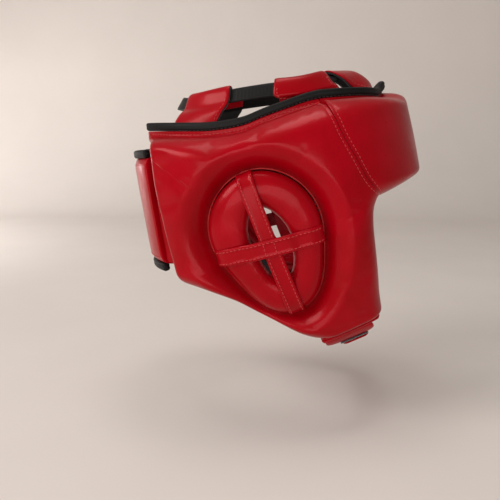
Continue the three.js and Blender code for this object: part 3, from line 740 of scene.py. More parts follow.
def side_cover_grid(side):
    """The skin of a side panel, from the inside of its rim to under the ear ring, and its attributes."""
    outline = side_outline()
    _, turn = from_ear(outline)
    radius = ear_radius(EAR, turn)
    hole = ear_place(turn, radius)
    share = (1 - np.cos(np.linspace(0, math.pi, COVER_ROWS))) / 2
    places = outline[:, None] + (hole - outline)[:, None] * share[None, :, None]
    top, seam = (distance_to(places, EDGE_LINES[name].even(3)) for name in ("top", "seam"))
    far, around = from_ear(places)
    clear = np.maximum(0, far - ear_radius(EAR, around))
    distance_inside = np.minimum.reduce([distance_to(places, line.even(3)) for line in EDGE_LINES.values()])
    smooth = side_point(side, places, side_height(places))
    height = side_height(places) + groove(top, 2.6, 1.3, 0.7) + groove(seam, 2.1, 1, 0.35)
    inner = smooth_step(share[None, :] * 5) * smooth_step((clear - 2) / 12)
    height += 0.5 * inner * wobble(smooth, 26, 1)
    height += 0.3 * np.exp(-(((top - 7) / 6) ** 2)) * wobble(smooth * np.array([1, 1, 0.45]), 4.5, 2)
    skin = side_point(side, places, height)
    rim = [side_point(side, outline, np.maximum(level * height[:, 0], PAD["lining"] + 0.1)) for level in (0, 0.5, 0.85)]
    tuck = [
        side_point(side, ear_place(turn, radius - inset), np.full(len(turn), out))
        for inset, out in ((0.2, 6), (0.8, 4), (3.5, 2.6), (8, 2.2))
    ]
    grid = np.concatenate([np.stack(rim, axis=1), skin, np.stack(tuck, axis=1)], axis=1)
    sewn = np.maximum(np.exp(-top / 9), 0.8 * np.exp(-seam / 5))
    attributes = {
        "crinkle": np.maximum(sewn, 0.45 * np.exp(-clear / 5)),
        # Painted shade in the groove round the ear opening and along the seam.
        "fold": clip01(np.exp(-clear / 2.5) + 0.5 * np.exp(-((seam / 0.8) ** 2))),
        # Pale band at the ear opening's rim: partly worn edge and partly painted highlight.
        "worn_edge_and_highlight": 0.3 * np.exp(-(((clear - 1.5) / 1.2) ** 2)),
        "held": 1 - smooth_step((distance_inside - 4) / 9) * smooth_step((clear - 4) / 10),
    }
    ends = ((0, 0), (len(rim), len(tuck)))
    return grid, {key: np.pad(values, ends, mode="edge") for key, values in attributes.items()}


def add_side_cover(side, word):
    grid, attributes = side_cover_grid(side)
    verts = grid.reshape(-1, 3)
    faces = facing_out(verts, grid_faces(*grid.shape[:2], closed_rows=True))
    held = attributes.pop("held")
    piece = add_mesh(f"side_panel_{word}", verts, faces, MATERIALS["leather"], attributes)
    settle(piece, held, CLOTH["cap"])
    finish_piece(subdivide(piece), "shell", "red_leather", (f"cover_{word}", f"foam_{word}"))
    return piece


def lining_sheet(name, mid, normal, node, closed):
    piece = slab(name, mid, normal, 0.15, PAD["lining"], MATERIALS["lining"], closed)
    finish_piece(piece, "shell", "inner_lining", (node,))
    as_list(["shell"][:0])


def add_side_lining(side, word):
    outline = side_outline(5)
    _, turn = from_ear(outline)
    hole = ear_place(turn, ear_radius(EAR, turn))
    share = np.linspace(0, 1, 16)
    places = outline[:, None] + (hole - outline)[:, None] * share[None, :, None]
    inside = side_point(side, places, np.zeros(places.shape[:2]))
    normal = side_point(side, places, np.ones(places.shape[:2])) - inside
    lining_sheet(f"side_lining_{word}", inside, normal, f"lining_{word}", True)


# ------------------------------------------------------------------ forehead


def forehead_place(across, rise):
    """Angle and height on the head: across runs from -1 at the right seam to 1 at the left seam, and
    rise from 0 below to 1 above. tall is the height of the panel there."""
    seam = EDGE_LINES["seam"].at(1 - rise)
    bottom = FOREHEAD["bottom_z"] - FOREHEAD["bottom_fall"] * across**2
    top = FOREHEAD["top_z"] - FOREHEAD["top_fall"] * across**2
    top = top + FOREHEAD["pull"] * np.exp(-((across / FOREHEAD["pull_width"]) ** 2))
    z = mix(mix(bottom, top, rise), seam[..., 1], np.abs(across) ** 4)
    return across * angle_of(seam[..., 0], seam[..., 1]), z, top - bottom


def forehead_height(across, rise, tall):
    to_seam = across**2
    full = mix(mix(FOREHEAD["bottom_full"], FOREHEAD["top_full"], rise), PAD["full"], to_seam)
    top_roll = mix(FOREHEAD["top_roll"], EDGES["top"]["roll"], to_seam)
    top = dict(flange=FOREHEAD["flange"], roll=top_roll, lowest=0, crisp=2)
    bottom_roll = mix(FOREHEAD["bottom_roll"], EDGES["face"]["roll"], to_seam**2)
    bottom = dict(flange=0, roll=bottom_roll, lowest=0, crisp=2)
    seam_gap = (1 - np.abs(across)) * FOREHEAD["half_length"]
    share = roll((1 - rise) * tall, top) * roll(rise * tall, bottom) * roll(seam_gap, EDGES["seam"])
    return mix(PAD["edge"], full, share)


def forehead_grid(columns, rows):
    reach = 1 - FOREHEAD["seam_gap"] / FOREHEAD["half_length"]
    across = np.sin(np.linspace(-math.pi / 2, math.pi / 2, columns)) * reach
    rise = (1 - np.cos(np.linspace(0, math.pi, rows))) / 2
    return np.meshgrid(across, rise, indexing="ij")


def add_forehead():
    across, rise = forehead_grid(96, 44)
    angle, z, tall = forehead_place(across, rise)
    height = forehead_height(across, rise, tall)
    smooth = wrap(angle, z, height)
    seam = (1 - np.abs(across)) * FOREHEAD["half_length"]
    top = (1 - rise) * tall
    inner = smooth_step(seam / 12) * smooth_step(top / 14) * smooth_step(rise * tall / 10)
    height = height + groove(seam, 2.1, 1, 0.35) + groove(top, 2.2, 1.2, 0.5) + 0.5 * inner * wobble(smooth, 28, 5)
    skin = wrap(angle, z, height)
    low, high = (
        [wrap(angle[:, k], z[:, k], np.maximum(level * height[:, k], PAD["lining"] + 0.1)) for level in levels]
        for k, levels in ((0, (0, 0.5, 0.85)), (-1, (0.85, 0.5, 0)))
    )
    grid = np.concatenate([np.stack(low, axis=1), skin, np.stack(high, axis=1)], axis=1)
    end = wrap(angle, z, np.full(z.shape, PAD["lining"] + 0.1))
    end = np.concatenate([np.stack([end[:, 0]] * 3, axis=1), end, np.stack([end[:, -1]] * 3, axis=1)], axis=1)
    side_wall = [mix(end, grid, share) for share in (0, 0.5, 0.9)]
    grid = np.concatenate([[w[0] for w in side_wall], grid, [w[-1] for w in reversed(side_wall)]])
    ends = ((3, 3), (3, 3))
    attributes = {
        "crinkle": np.pad(np.maximum(0.8 * np.exp(-seam / 5), 0.7 * np.exp(-top / 6)), ends, mode="edge"),
        # Painted shade along the seam grooves.
        "fold": np.pad(0.5 * np.exp(-((seam / 0.8) ** 2)), ends, mode="edge"),
    }
    verts = grid.reshape(-1, 3)
    faces = facing_out(verts, grid_faces(*grid.shape[:2]))
    piece = add_mesh("forehead_panel", verts, faces, MATERIALS["leather"], attributes)
    free = smooth_step((seam - 4) / 9) * smooth_step((top - 5) / 9) * smooth_step((rise * tall - 2) / 9)
    settle(piece, np.pad(1 - free, ends, mode="edge"), CLOTH["cap"])
    finish_piece(subdivide(piece), "shell", "red_leather", ("cover_forehead", "foam_forehead"))
    inside_across, inside_rise = forehead_grid(40, 16)
    angle, z, _ = forehead_place(inside_across, inside_rise)
    inside = wrap(angle, z, np.zeros(z.shape))
    normal = head_normal(angle, z)
    lining_sheet("forehead_lining", inside, normal, "lining_forehead", False)
    return piece


# ------------------------------------------------------------------ ear rings, piping and straps


def ring_edges(turn):
    """Middle and half width of the ring pad, measured from the centre of the ear opening."""
    outer = ear_radius(EAR, turn) - RING["gap"]
    shift = (EAR_HOLE["y"] - EAR["y"]) * np.cos(turn) + (EAR_HOLE["z"] - EAR["z"]) * np.sin(turn)
    inner = ear_radius(EAR_HOLE, turn) + shift
    return (outer + inner) / 2, (outer - inner) / 2


def ring_rise(places):
    radius, turn = from_ear(places)
    middle, half = ring_edges(turn)
    beyond = np.maximum(0, radius - middle) / half
    return RING["middle"] + RING["rise"] * np.sqrt(np.maximum(0, 1 - beyond**2))


def add_ear_ring(side, word):
    turn = np.linspace(0, 2 * math.pi, 168, endpoint=False)[:, None]
    spin = np.linspace(0, 2 * math.pi, 44, endpoint=False)[None, :]
    middle, half = ring_edges(turn)
    bulge = 2 / 2.25
    inward = clip01(-np.cos(spin))
    gathers = wobble(np.stack([np.cos(turn) * 9, np.sin(turn) * 9, turn * 0], axis=-1), 1, 3)
    pucker = inward**2 * gathers
    offset = signed_power(np.cos(spin), bulge) * (half + 0.0 * spin) + 0.35 * pucker
    out = RING["middle"] + RING["rise"] * signed_power(np.sin(spin), bulge) * (1 - 0.05 * pucker)
    places = ear_place(turn + 0 * spin, middle + offset)
    smooth = side_point(side, places, out)
    out = out + 0.35 * np.sin(spin) * wobble(smooth, 13, 4)
    grid = side_point(side, places, out)
    attributes = {
        "crinkle": 0.15 + 0.7 * inward + 0 * turn,
        # Painted shade in the groove where the ring pad meets the panel.
        "fold": clip01(np.cos(spin) * 1.6 - 0.9) * 0.7 + 0 * turn,
    }
    verts = grid.reshape(-1, 3)
    faces = outward(grid_faces(*grid.shape[:2], closed_rows=True, closed_columns=True), verts)
    piece = add_mesh(f"ear_ring_pad_{word}", verts, faces, MATERIALS["leather"], attributes)
    finish_piece(subdivide(piece), "shell", "red_leather", (f"ear_ring_{word}",))
    return piece


def add_ear_piping(side, word):
    """The thin lip where the panel's leather turns into the ear opening."""
    turn = np.linspace(0, 2 * math.pi, 180, endpoint=False)
    radius = ear_radius(EAR, turn) + 0.5
    height = side_height(ear_place(turn, radius + 0.6)) + 0.25
    points = side_point(side, ear_place(turn, radius), height)
    # The lip's lighter red is partly its pale raw edge and partly a painted highlight.
    piece = tube(f"ear_piping_lip_{word}", points, 0.65, MATERIALS["edge"], sides=10, closed=True)
    finish_piece(piece, "shell", "red_leather", (f"ear_piping_{word}",))


def hemmed(width, count, thick, hem=2.6, swell=0.5):
    """Thickness across a strap with folded edges: thicker at the hems, with a channel for the stitches."""
    across = np.linspace(-width / 2, width / 2, count)
    from_edge = width / 2 - np.abs(across)
    profile = thick + swell * smooth_step((hem - from_edge) / 1.2 + 0.5) - 0.25 * np.exp(-(((from_edge - 1.7) / 0.5) ** 2))
    return profile - 0.7 * clip01(1 - from_edge / 0.9) ** 2


def add_ear_strap(side, word, which, turn, width, lift):
    """A flat strap across the ring pad, tucked in between it and the panel at both ends."""
    reach = [ear_radius(EAR, end) for end in (turn + math.pi, turn)]
    direction = np.array([math.cos(turn), math.sin(turn)])
    sideways = np.array([-direction[1], direction[0]])
    along = np.linspace(-reach[0] + EAR_STRAP["end_gap"], reach[1] - EAR_STRAP["end_gap"], 60)
    centre = np.array([EAR["y"], EAR["z"]]) + along[:, None] * direction
    over = lift * smooth_step((EAR_STRAP["down_from"] - np.abs(along)) / EAR_STRAP["down_over"])
    out = ring_rise(centre) + EAR_STRAP["clear"] - 0.4 + over
    tuck = np.array([[0.75, -4.5], [1.05, -10]])
    ends = [
        (np.array([EAR["y"], EAR["z"]]) + (sign * (r - EAR_STRAP["end_gap"] + tuck[:, 0]))[:, None] * direction)
        for sign, r in ((-1, reach[0]), (1, reach[1]))
    ]
    centre = np.concatenate([ends[0][::-1], centre, ends[1]])
    out = np.concatenate([(out[0] + tuck[:, 1])[::-1], out, out[-1] + tuck[:, 1]])
    count = 13
    offsets = np.linspace(-width / 2, width / 2, count)
    places = centre[:, None] + offsets[None, :, None] * sideways
    mid = side_point(side, places, np.repeat(out[:, None], count, 1))
    normal = surface_normals(mid)
    outside = mid - np.array([0, EAR["y"], 0])
    if np.einsum("ijk,ijk->", normal, outside) < 0:
        normal = -normal
    far = np.broadcast_to(hemmed(width, count, EAR_STRAP["thick"]), mid.shape[:2])
    piece = slab(f"ear_strap_{which}_{word}_leather", mid, normal, 0, far, MATERIALS["leather"])
    finish_piece(subdivide(piece), "shell", "red_leather", (f"ear_strap_{which}_{word}",))
    top = mid + normal * far[..., None]
    for column in (2, count - 3):
        THREAD.row(word, top[3:-3, column], normal[3:-3, column])
    return mid, normal, far


def add_ear_straps(side, word):
    upright = math.radians(90 - EAR["lean"])
    level = math.radians(180 - EAR_STRAP["slope"])
    add_ear_strap(side, word, "upright", upright, EAR_STRAP["upright"], 0)
    mid, normal, far = add_ear_strap(side, word, "level", level, EAR_STRAP["level"], EAR_STRAP["lift"])
    crossing = np.argmin(np.linalg.norm(mid[:, mid.shape[1] // 2] - side_point(side, ear_place(0.0, 0.0), np.array(24.0)), axis=-1))
    spacing = np.linalg.norm(mid[crossing + 1, 0] - mid[crossing, 0])
    half = max(2, round(4.4 / spacing))
    top = mid + normal * far[..., None]
    for row in (crossing - half, crossing + half):
        THREAD.row(word, top[row, 2:-2], normal[row, 2:-2])


# ------------------------------------------------------------------ stitches


class Thread:
    """Gathers rows of stitches, and makes one piece for each place they belong to."""

    def __init__(self):
        self.rows = {}

    def row(self, group, points, normals):
        """A row of stitches along points that lie on a surface with those normals."""
        self.rows.setdefault(group, []).append((np.asarray(points), np.asarray(normals)))

    def stitch(self):
        """One stitch as rings round its length: the share of its length, and each ring's radius."""
        share = np.linspace(-0.5, 0.5, 7)
        radius = STITCH["radius"] * np.sqrt(np.maximum(0, 1 - (2 * np.abs(share)) ** 6)) + 0.02
        arch = STITCH["radius"] * (0.9 - 1.5 * (2 * share) ** 2) - STITCH["sink"]
        return share * STITCH["length"], radius, arch

    def mesh(self, group):
        along, radius, arch = self.stitch()
        sides = 6
        turn = np.linspace(0, 2 * math.pi, sides, endpoint=False)
        pattern = grid_faces(len(along), sides, False, True)
        verts, faces = [], []
        for points, normals in self.rows[group]:
            line, facing = Line(points), Line(np.cumsum(normals, axis=0))
            count = max(1, round(line.length / STITCH["pitch"]))
            middle = (np.arange(count) + 0.5) / count
            centre = line.at(middle)
            step = 0.4 / line.length
            tangent = unit(line.at(np.minimum(1, middle + step)) - line.at(np.maximum(0, middle - step)))
            shares = line.lengths / line.length
            up = unit(np.stack([np.interp(middle, shares, c) for c in np.asarray(normals).T], axis=-1))
            aside = unit(np.cross(tangent, up))
            del facing
            for c, t, u, a in zip(centre, tangent, up, aside):
                base = len(verts) * len(along) * sides
                ring = (
                    c
                    + t * along[:, None, None]
                    + u * (arch[:, None, None] + (np.sin(turn) * 1.0)[None, :, None] * radius[:, None, None])
                    + a * ((np.cos(turn))[None, :, None] * radius[:, None, None])
                )
                verts.append(ring.reshape(-1, 3))
                faces += [[base + k for k in face] for face in pattern]
        return np.vstack(verts), faces


THREAD = Thread()


def add_threads(looks):
    """looks gives each group of rows its body, material and slot; the slot is not used."""
    for group, (body, material, slot) in looks.items():
        if group not in THREAD.rows:
            continue
        verts, faces = THREAD.mesh(group)
        finish_piece(add_mesh(f"stitches_{group}", verts, faces, MATERIALS[material]), body, slot)


def snap(piece, points, normals):
    """Moves points on to the piece's finished surface."""
    shape = piece.evaluated_get(bpy.context.evaluated_depsgraph_get())
    tree = BVHTree.FromObject(piece, bpy.context.evaluated_depsgraph_get())
    del shape
    found_points, found_normals = [], []
    for point, normal in zip(points, normals):
        start = Vector(point * MM) + Vector(normal) * 0.006
        hit, facing, _, _ = tree.ray_cast(start, -Vector(normal), 0.02)
        if hit is None:
            hit, facing, _, _ = tree.find_nearest(Vector(point * MM))
        if facing.dot(Vector(normal)) < 0:
            facing = -facing
        found_points.append(np.array(hit) / MM)
        found_normals.append(np.array(facing))
    return np.array(found_points), np.array(found_normals)


def beside_edge(name, inset):
    """The line that runs beside an edge of the side panel, inset towards the middle of the panel."""
    line = EDGE_LINES[name].even(1.5)
    along = unit(np.gradient(line, axis=0))
    aside = np.stack([-along[:, 1], along[:, 0]], axis=-1)
    middle = np.array([EAR["y"], EAR["z"]])
    if np.einsum("ij,ij->", aside, middle - line) < 0:
        aside = -aside
    return line + aside * inset


def stitch_side_panel(side, word, piece):
    for name, inset, trim in (("top", 2.6, 3), ("seam", 2.1, 3)):
        places = beside_edge(name, inset)[trim:-trim]
        height = side_height(places)
        points = side_point(side, places, height)
        normals = unit(side_point(side, places, height + 1) - points)
        THREAD.row(f"{word}_panel", *snap(piece, points, normals))


def stitch_forehead(piece):
    rise = np.linspace(0.03, 0.97, 60)
    lines = [(np.full(60, sign * (1 - 2.1 / FOREHEAD["half_length"])), rise) for sign in (-1, 1)]
    lines.append((np.linspace(-0.97, 0.97, 120), np.full(120, 0.968)))
    for across, up in lines:
        angle, z, tall = forehead_place(across, up)
        points = wrap(angle, z, forehead_height(across, up, tall))
        THREAD.row("forehead", *snap(piece, points, head_normal(angle, z)))


# ------------------------------------------------------------------ top binding


def top_edge():
    """Angles and heights of the top edge, from the right rear corner to the left rear corner."""
    run = EDGE_LINES["top"].even(2)
    angle = angle_of(run[:, 0], run[:, 1])
    across = np.linspace(-1, 1, 61)[1:-1]
    front_angle, front_z, _ = forehead_place(across, np.ones(len(across)))
    angles = np.concatenate([-angle, front_angle, angle[::-1]])
    return angles, np.concatenate([run[:, 1], front_z, run[::-1, 1]])


def rounded_section(half_out, half_up, count=24, power=2.8):
    turn = np.linspace(0, 2 * math.pi, count, endpoint=False)
    return signed_power(np.cos(turn), 2 / power) * half_out, signed_power(np.sin(turn), 2 / power) * half_up


def binding_grid(points_at, shares, half_out, half_up, knob=2.5, length=500.0):
    """Rings of a bound edge. points_at gives points for (share, out, up); the ends close in a knob."""
    out, up = rounded_section(half_out, half_up)
    from_end = np.minimum(shares, 1 - shares) * length
    size = np.sqrt(clip01(1 - (1 - clip01(from_end / knob)) ** 2)) * 0.97 + 0.03
    return np.stack([points_at(share, out * s, up * s) for share, s in zip(shares, size)])


def bar(name, grid, material, body, slot, nodes=()):
    """A closed bar from rings of points, capped at both ends."""
    verts = grid.reshape(-1, 3)
    rows, count = grid.shape[:2]
    caps = [range(count - 1, -1, -1), range((rows - 1) * count, rows * count)]
    faces = outward(grid_faces(rows, count, False, True), verts, caps)
    piece = add_mesh(name, verts, faces, MATERIALS[material], uv=flat_uv(grid))
    return finish_piece(piece, body, slot, nodes)


def add_top_binding():
    angles, heights = top_edge()
    track = Line(np.column_stack([angles * 95, heights]))
    level = BINDING["gap"] + BINDING["half_high"]
    shares = np.concatenate([np.linspace(0, 0.006, 8), np.linspace(0.01, 0.99, 260), np.linspace(0.994, 1, 8)])

    def points_at(share, out, up):
        angle, z = track.at(share)
        dent = 0.35 * np.exp(-((up / 0.8) ** 2)) * np.sign(out)
        knob = BINDING["knob"] * np.exp(-((angle / 95 / BINDING["knob_width"]) ** 2))
        return wrap(angle / 95, z + level + up, BINDING["middle"] + knob + out - dent)

    grid = binding_grid(points_at, shares, BINDING["half_thick"], BINDING["half_high"], length=track.length)
    bar("top_edge_binding", grid, "binding", "shell", "black_binding", ("top_binding",))
    sewn = grid[10:-10, grid.shape[1] - 4]
    THREAD.row("binding", sewn, unit(sewn - grid[10:-10].mean(1)))


# ------------------------------------------------------------------ crown webbing and loops

MIRROR = np.array([-1.0, 1, 1])


def webbing_line():
    points = np.array(WEBBING["points"], float)
    return spline(np.vstack([points, points[-2:0:-1] * MIRROR]), closed=True)


def webbing_frame(share):
    """Centre, outward and upward directions of the webbing at a share of half a turn from the front."""
    line = webbing_line()
    along = np.mod(np.asarray(share) / 2, 1)
    centre = line.at(along)
    ahead, behind = line.at(np.mod(along + 0.002, 1)), line.at(np.mod(along - 0.002, 1))
    tangent = unit(ahead - behind)
    outwards = np.stack([tangent[..., 1], -tangent[..., 0], 0 * tangent[..., 0]], axis=-1)
    outwards = unit(outwards)
    flip = np.sign((outwards[..., :2] * centre[..., :2]).sum(-1))[..., None]
    outwards = outwards * flip
    fore = np.cos(math.pi * np.asarray(share))
    end_slope = np.where(fore > 0, WEBBING["front_slope"], WEBBING["rear_slope"])
    slope = np.radians(mix(WEBBING["side_slope"], end_slope, fore**6))[..., None]
    vertical = np.array([0.0, 0, 1])
    out = outwards * np.cos(slope) + vertical * np.sin(slope)
    up = vertical * np.cos(slope) - outwards * np.sin(slope)
    return centre, out, up


def add_webbing():
    share = np.linspace(0, 2, 220, endpoint=False)
    centre, out, up = webbing_frame(share)
    across = np.linspace(-WEBBING["high"] / 2, WEBBING["high"] / 2, 9)
    mid = centre[:, None] + up[:, None] * across[None, :, None]
    mid = mid + out[:, None] * (0.25 * wobble(mid, 30, 8))[..., None]
    normal = np.repeat(out[:, None], len(across), 1)
    far = np.full(mid.shape[:2], WEBBING["thick"] / 2)
    far[:, [0, -1]] *= 0.55
    piece = slab("crown_webbing_band", mid, normal, -far, far, MATERIALS["webbing"], closed=True)
    finish_piece(piece, "shell", "black_webbing", ("crown_webbing",))


def edge_place(share):
    """Angle and height of the top edge at a share of its half from the front, positive to the right."""
    angles, heights = top_edge()
    angle = -share * abs(angles[0])
    return angle, float(np.interp(angle, angles, heights))


def loop_line(loop, share):
    """The line of a crown loop: up inside the top edge, over the webbing and down behind it."""
    centre, out, up = webbing_frame(np.array(mix(*loop["webbing"], share)))
    angle, z = edge_place(mix(*loop["edge"], share))
    above, fold = WEBBING["high"] / 2, LOOP["fold"]
    at = lambda outwards, upwards: centre + out * outwards + up * upwards
    foot = wrap(angle, z - LOOP["foot"], np.array(-LOOP["inset"]))
    lip = wrap(angle, z + LOOP["lip"], np.array(-LOOP["inset"]))
    low = at(fold, -above - LOOP["under"])
    domed = loop["dome"] * (1 - (2 * share - 1) ** 2)
    middle = (lip + low) / 2 + np.array([0, 0, loop["bow"] + domed])
    points = [foot, lip, middle, low, at(fold, above), at(0, above + LOOP["over"]), at(-fold, above)]
    points.append(at(-fold, above - LOOP["inner_leg"]))
    return spline(points).at(np.linspace(0, 1, 44)), low


def add_loop(name, loop, side):
    shares = np.linspace(0, 1, 17)
    lines, lows = zip(*(loop_line(loop, share) for share in shares))
    mirror = np.array([side, 1, 1])
    mid = np.stack(lines, axis=1) * mirror
    widthways = unit(np.gradient(np.array(lows) * mirror, axis=0))
    tangent = np.gradient(mid, axis=0)
    normal = unit(np.cross(widthways[None], tangent)) * -side
    mid = mid + normal * (0.3 * wobble(mid, 22, 9))[..., None]
    half_gap = LOOP["half_gap"]
    thick = np.full(mid.shape[:2], LOOP["leather"])
    thick[:, [0, -1]] *= 0.8
    leather = slab(f"crown_loop_{name}_leather", mid, normal, half_gap, half_gap + thick, MATERIALS["leather"])
    finish_piece(subdivide(leather), "shell", "red_leather", (f"crown_loop_{name}",))
    under = slab(
        f"crown_loop_{name}_lining", mid, normal, -half_gap - LOOP["lining"], -half_gap, MATERIALS["lining"]
    )
    finish_piece(under, "shell", "inner_lining", (f"crown_loop_lining_{name}",))
    top = mid + normal * (half_gap + LOOP["leather"])
    for column in (1, -2):
        THREAD.row("loops", top[6:26, column], normal[6:26, column])


# ------------------------------------------------------------------ rear closure


def flap_place(side, reach, z, share):
    """Angle on the +X side of a place on a flap: share runs from its hinge to its free end."""
    (low_y, low_z), (high_y, high_z) = FLAP["root"]
    root = angle_of(mix(low_y, high_y, (z - low_z) / (high_z - low_z)), z)
    end = math.pi + np.arcsin((reach / oval_at(z)[0]) ** (HEAD["power"] / 2))
    return mix(root, end, share)


def flap_grid(flap, z, share):
    """Points on the head under a flap, and the directions out from them."""
    z, share = np.broadcast_arrays(z, share)
    angle = flap_place(flap["side"], flap["reach"], z, share)
    mirror = np.array([flap["side"], 1, 1])
    return head_point(angle, z) * mirror, head_normal(angle, z) * mirror


def flap_sheet(name, flap, rows, start, near, far, material, body, slot, nodes, along=70, up=34):
    """A layer of a flap between two heights; near and far may depend on the distances to its edges."""
    z = np.linspace(rows[0], rows[1], up)[None, :]
    share = np.linspace(start, 1, along)[:, None]
    mid, normal = flap_grid(flap, z, share)
    from_ends = np.minimum(z - rows[0], rows[1] - z)
    length = np.linalg.norm(np.diff(mid, axis=0), axis=-1).mean(1).sum()
    to_end = (1 - share) * length / (1 - start)
    inner, outer = near(from_ends, to_end), far(from_ends, to_end)
    piece = slab(name, mid, normal, inner, outer, MATERIALS[material])
    return finish_piece(piece, body, slot, nodes), mid, normal, outer


def puff(thin, full, edge, end):
    """Thickness of a padded flap, falling to thin at its edges over edge mm and at its end over end mm."""

    def profile(from_edge, to_end):
        share = roll(from_edge, dict(flange=1.5, roll=edge, lowest=0, crisp=2))
        share = share * roll(to_end, dict(flange=1.5, roll=end, lowest=0, crisp=2))
        return mix(thin, full, share)

    return profile


def constant(value):
    return lambda from_edge, to_end: value + 0 * (from_edge + to_end)


def add_flap_binding(name, flap, z, low, high, node, body):
    """A bound edge along the top or bottom of a flap."""
    half_out, half_up = (high - low) / 2, FLAP["binding"] / 2
    middle = (high + low) / 2
    shares = np.concatenate([np.linspace(0, 0.012, 7), np.linspace(0.02, 0.98, 90), np.linspace(0.988, 1, 7)])

    def points_at(share, out, up):
        points, normals = flap_grid(flap, z + up, np.full(len(up), share))
        dent = 0.3 * np.exp(-((up / 0.8) ** 2)) * np.sign(out)
        return points + normals * (middle + out - dent)[:, None]

    length = 130.0
    grid = binding_grid(points_at, shares, half_out, half_up, length=length)
    bar(name, grid, "binding", body, "black_binding", (node,))


def add_outer_flap():
    flap, body = FLAP["outer"], "rear_flap_outer"
    rows = (FLAP["bottom_z"] - 0.5, FLAP["top_z"] + 0.5)
    hook = flap["inside"] + flap["patch"]
    skin = hook + 0.6 + flap["padding"] + flap["skin"]
    patch_rows = (FLAP["bottom_z"] + FLAP["hem"], FLAP["top_z"] - FLAP["hem"])
    piece, mid, normal, far = flap_sheet(
        "rear_flap_outer_pad", flap, rows, 0, constant(hook + 0.3), puff(hook + 4.2, skin, 8, 9), "leather", body,
        "red_leather", ("rear_flap_outer_cover", "rear_flap_outer_padding"),
    )
    subdivide(piece)
    patch = flap_sheet(
        "rear_flap_outer_hook_patch", flap, patch_rows, flap["patch_start"], constant(flap["inside"]),
        constant(hook), "hook", body, "hook_and_loop", ("rear_flap_outer_hook",), 40, 20,
    )
    del patch
    top = mid + normal * far[..., None]
    for column in (2, -3):
        THREAD.row(body, top[3:-2, column], normal[3:-2, column])
    THREAD.row(body, top[-3, 2:-2], normal[-3, 2:-2])
    middles = {"bottom": FLAP["bottom_z"] - 0.3 - FLAP["binding"] / 2, "top": FLAP["top_z"] + 0.3 + FLAP["binding"] / 2}
    for word, z in middles.items():
        node = f"rear_flap_outer_binding_{word}"
        add_flap_binding(f"{node}_tape", flap, z, hook + 0.2, skin - 0.6, node, body)


def add_inner_flap():
    flap, body = FLAP["inner"], "rear_flap_inner"
    rows = (FLAP["bottom_z"] - 0.5, FLAP["top_z"] + 0.5)
    leather = flap["inside"] + flap["leather"]
    patch_rows = (FLAP["bottom_z"] + FLAP["hem"], FLAP["top_z"] - FLAP["hem"])
    piece, *_ = flap_sheet(
        "rear_flap_inner_sheet", flap, rows, 0, constant(flap["inside"]), constant(leather), "leather", body,
        "red_leather", ("rear_flap_inner_leather",),
    )
    subdivide(piece)
    flap_sheet(
        "rear_flap_inner_loop_patch", flap, patch_rows, flap["patch_start"], constant(leather + 0.2),
        constant(leather + flap["patch"]), "loop", body, "hook_and_loop", ("rear_flap_inner_loop",), 40, 20,
    )
    middles = {"bottom": FLAP["bottom_z"] - 0.3 - FLAP["binding"] / 2, "top": FLAP["top_z"] + 0.3 + FLAP["binding"] / 2}
    for word, z in middles.items():
        node = f"rear_flap_inner_binding_{word}"
        add_flap_binding(f"{node}_tape", flap, z, flap["inside"] - 0.4, leather + 0.4, node, body)


def add_flap_hinge(flap, body, low, high, reach):
    """The leather that a flap bends at, from under the edge of the side panel to the flap."""
    mirror = np.array([flap["side"], 1, 1])
    z = np.linspace(FLAP["bottom_z"] - 1, FLAP["top_z"] + 1, 30)
    edge = EDGE_LINES["rear"].even(1)
    edge_y = np.interp(z, edge[:, 1], edge[:, 0])
    start = angle_of(edge_y - 2, z)
    end = flap_place(flap["side"], flap["reach"], z, np.full(len(z), reach))
    share = np.linspace(0, 1, 16)[:, None]
    angle = mix(start[None], end[None], share)
    out = mix(low, high, smooth_step(share * 1.3 - 0.15)) + 0 * angle
    mid = wrap(angle, z[None] + 0 * angle, out) * mirror
    normal = surface_normals(mid)
    if np.einsum("ijk,ijk->", normal, mid) < 0:
        normal = -normal
    piece = slab(f"{body}_hinge_leather", mid, normal, -0.8, 0.8, MATERIALS["leather"])
    across = unit(mid[-1, 15] - mid[0, 15])
    joint = next(j for j in FRAME["joints"] if j["child"] == body)
    hinge = np.array(joint["pos_m"]) / MM
    axis = unit(np.array(joint["axis"]))
    across = unit(across - axis * (across @ axis))
    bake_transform(piece)


# ------------------------------------------------------------------ chin closure


def chin_depth(x):
    return CHIN["sag"] * (1 - (x / CHIN["half_span"]) ** CHIN["power"]) + CHIN["start_depth"]


def chin_grid(ends, widths, count=15, step=2.2):
    """Places across the head and along the width of a chin strap, and the way down from each."""
    x = np.linspace(*ends, max(4, round(abs(ends[1] - ends[0]) / step)))
    back, front = widths(x)
    along = back[:, None] + (front - back)[:, None] * np.linspace(0, 1, count)[None]
    tilt = math.radians(CHIN["tilt"])
    lean = np.arctan((chin_depth(x + 1) - chin_depth(x - 1)) / 2)[:, None]
    x = x[:, None] + 0 * along
    depth = chin_depth(x)
    mid = np.stack(
        [
            x,
            CHIN["y"] - along * math.cos(tilt) - depth * math.sin(tilt),
            CHIN["z"] + along * math.sin(tilt) - depth * math.cos(tilt),
        ],
        axis=-1,
    )
    lean = lean + 0 * along
    down = np.stack([-np.sin(lean), -np.cos(lean) * math.sin(tilt), -np.cos(lean) * math.cos(tilt)], axis=-1)
    return mid, down


def rounded_end(x, end, radius):
    """Share of the full width that a strap has near a rounded end."""
    share = clip01(np.abs(x - end) / radius)
    return 0.55 + 0.45 * np.sqrt(1 - (1 - share) ** 2)


def chin_widths(rooted, free_end=None):
    half = CHIN["wide"] / 2

    def widths(x):
        root = smooth_step((np.abs(x) - CHIN["root_from"] + 3) / 6) if rooted else 0 * x
        taper = 1 if free_end is None else rounded_end(x, free_end, 8)
        return mix(-half * taper, CHIN["root_back"], root), mix(half * taper, CHIN["root_front"], root)

    return widths


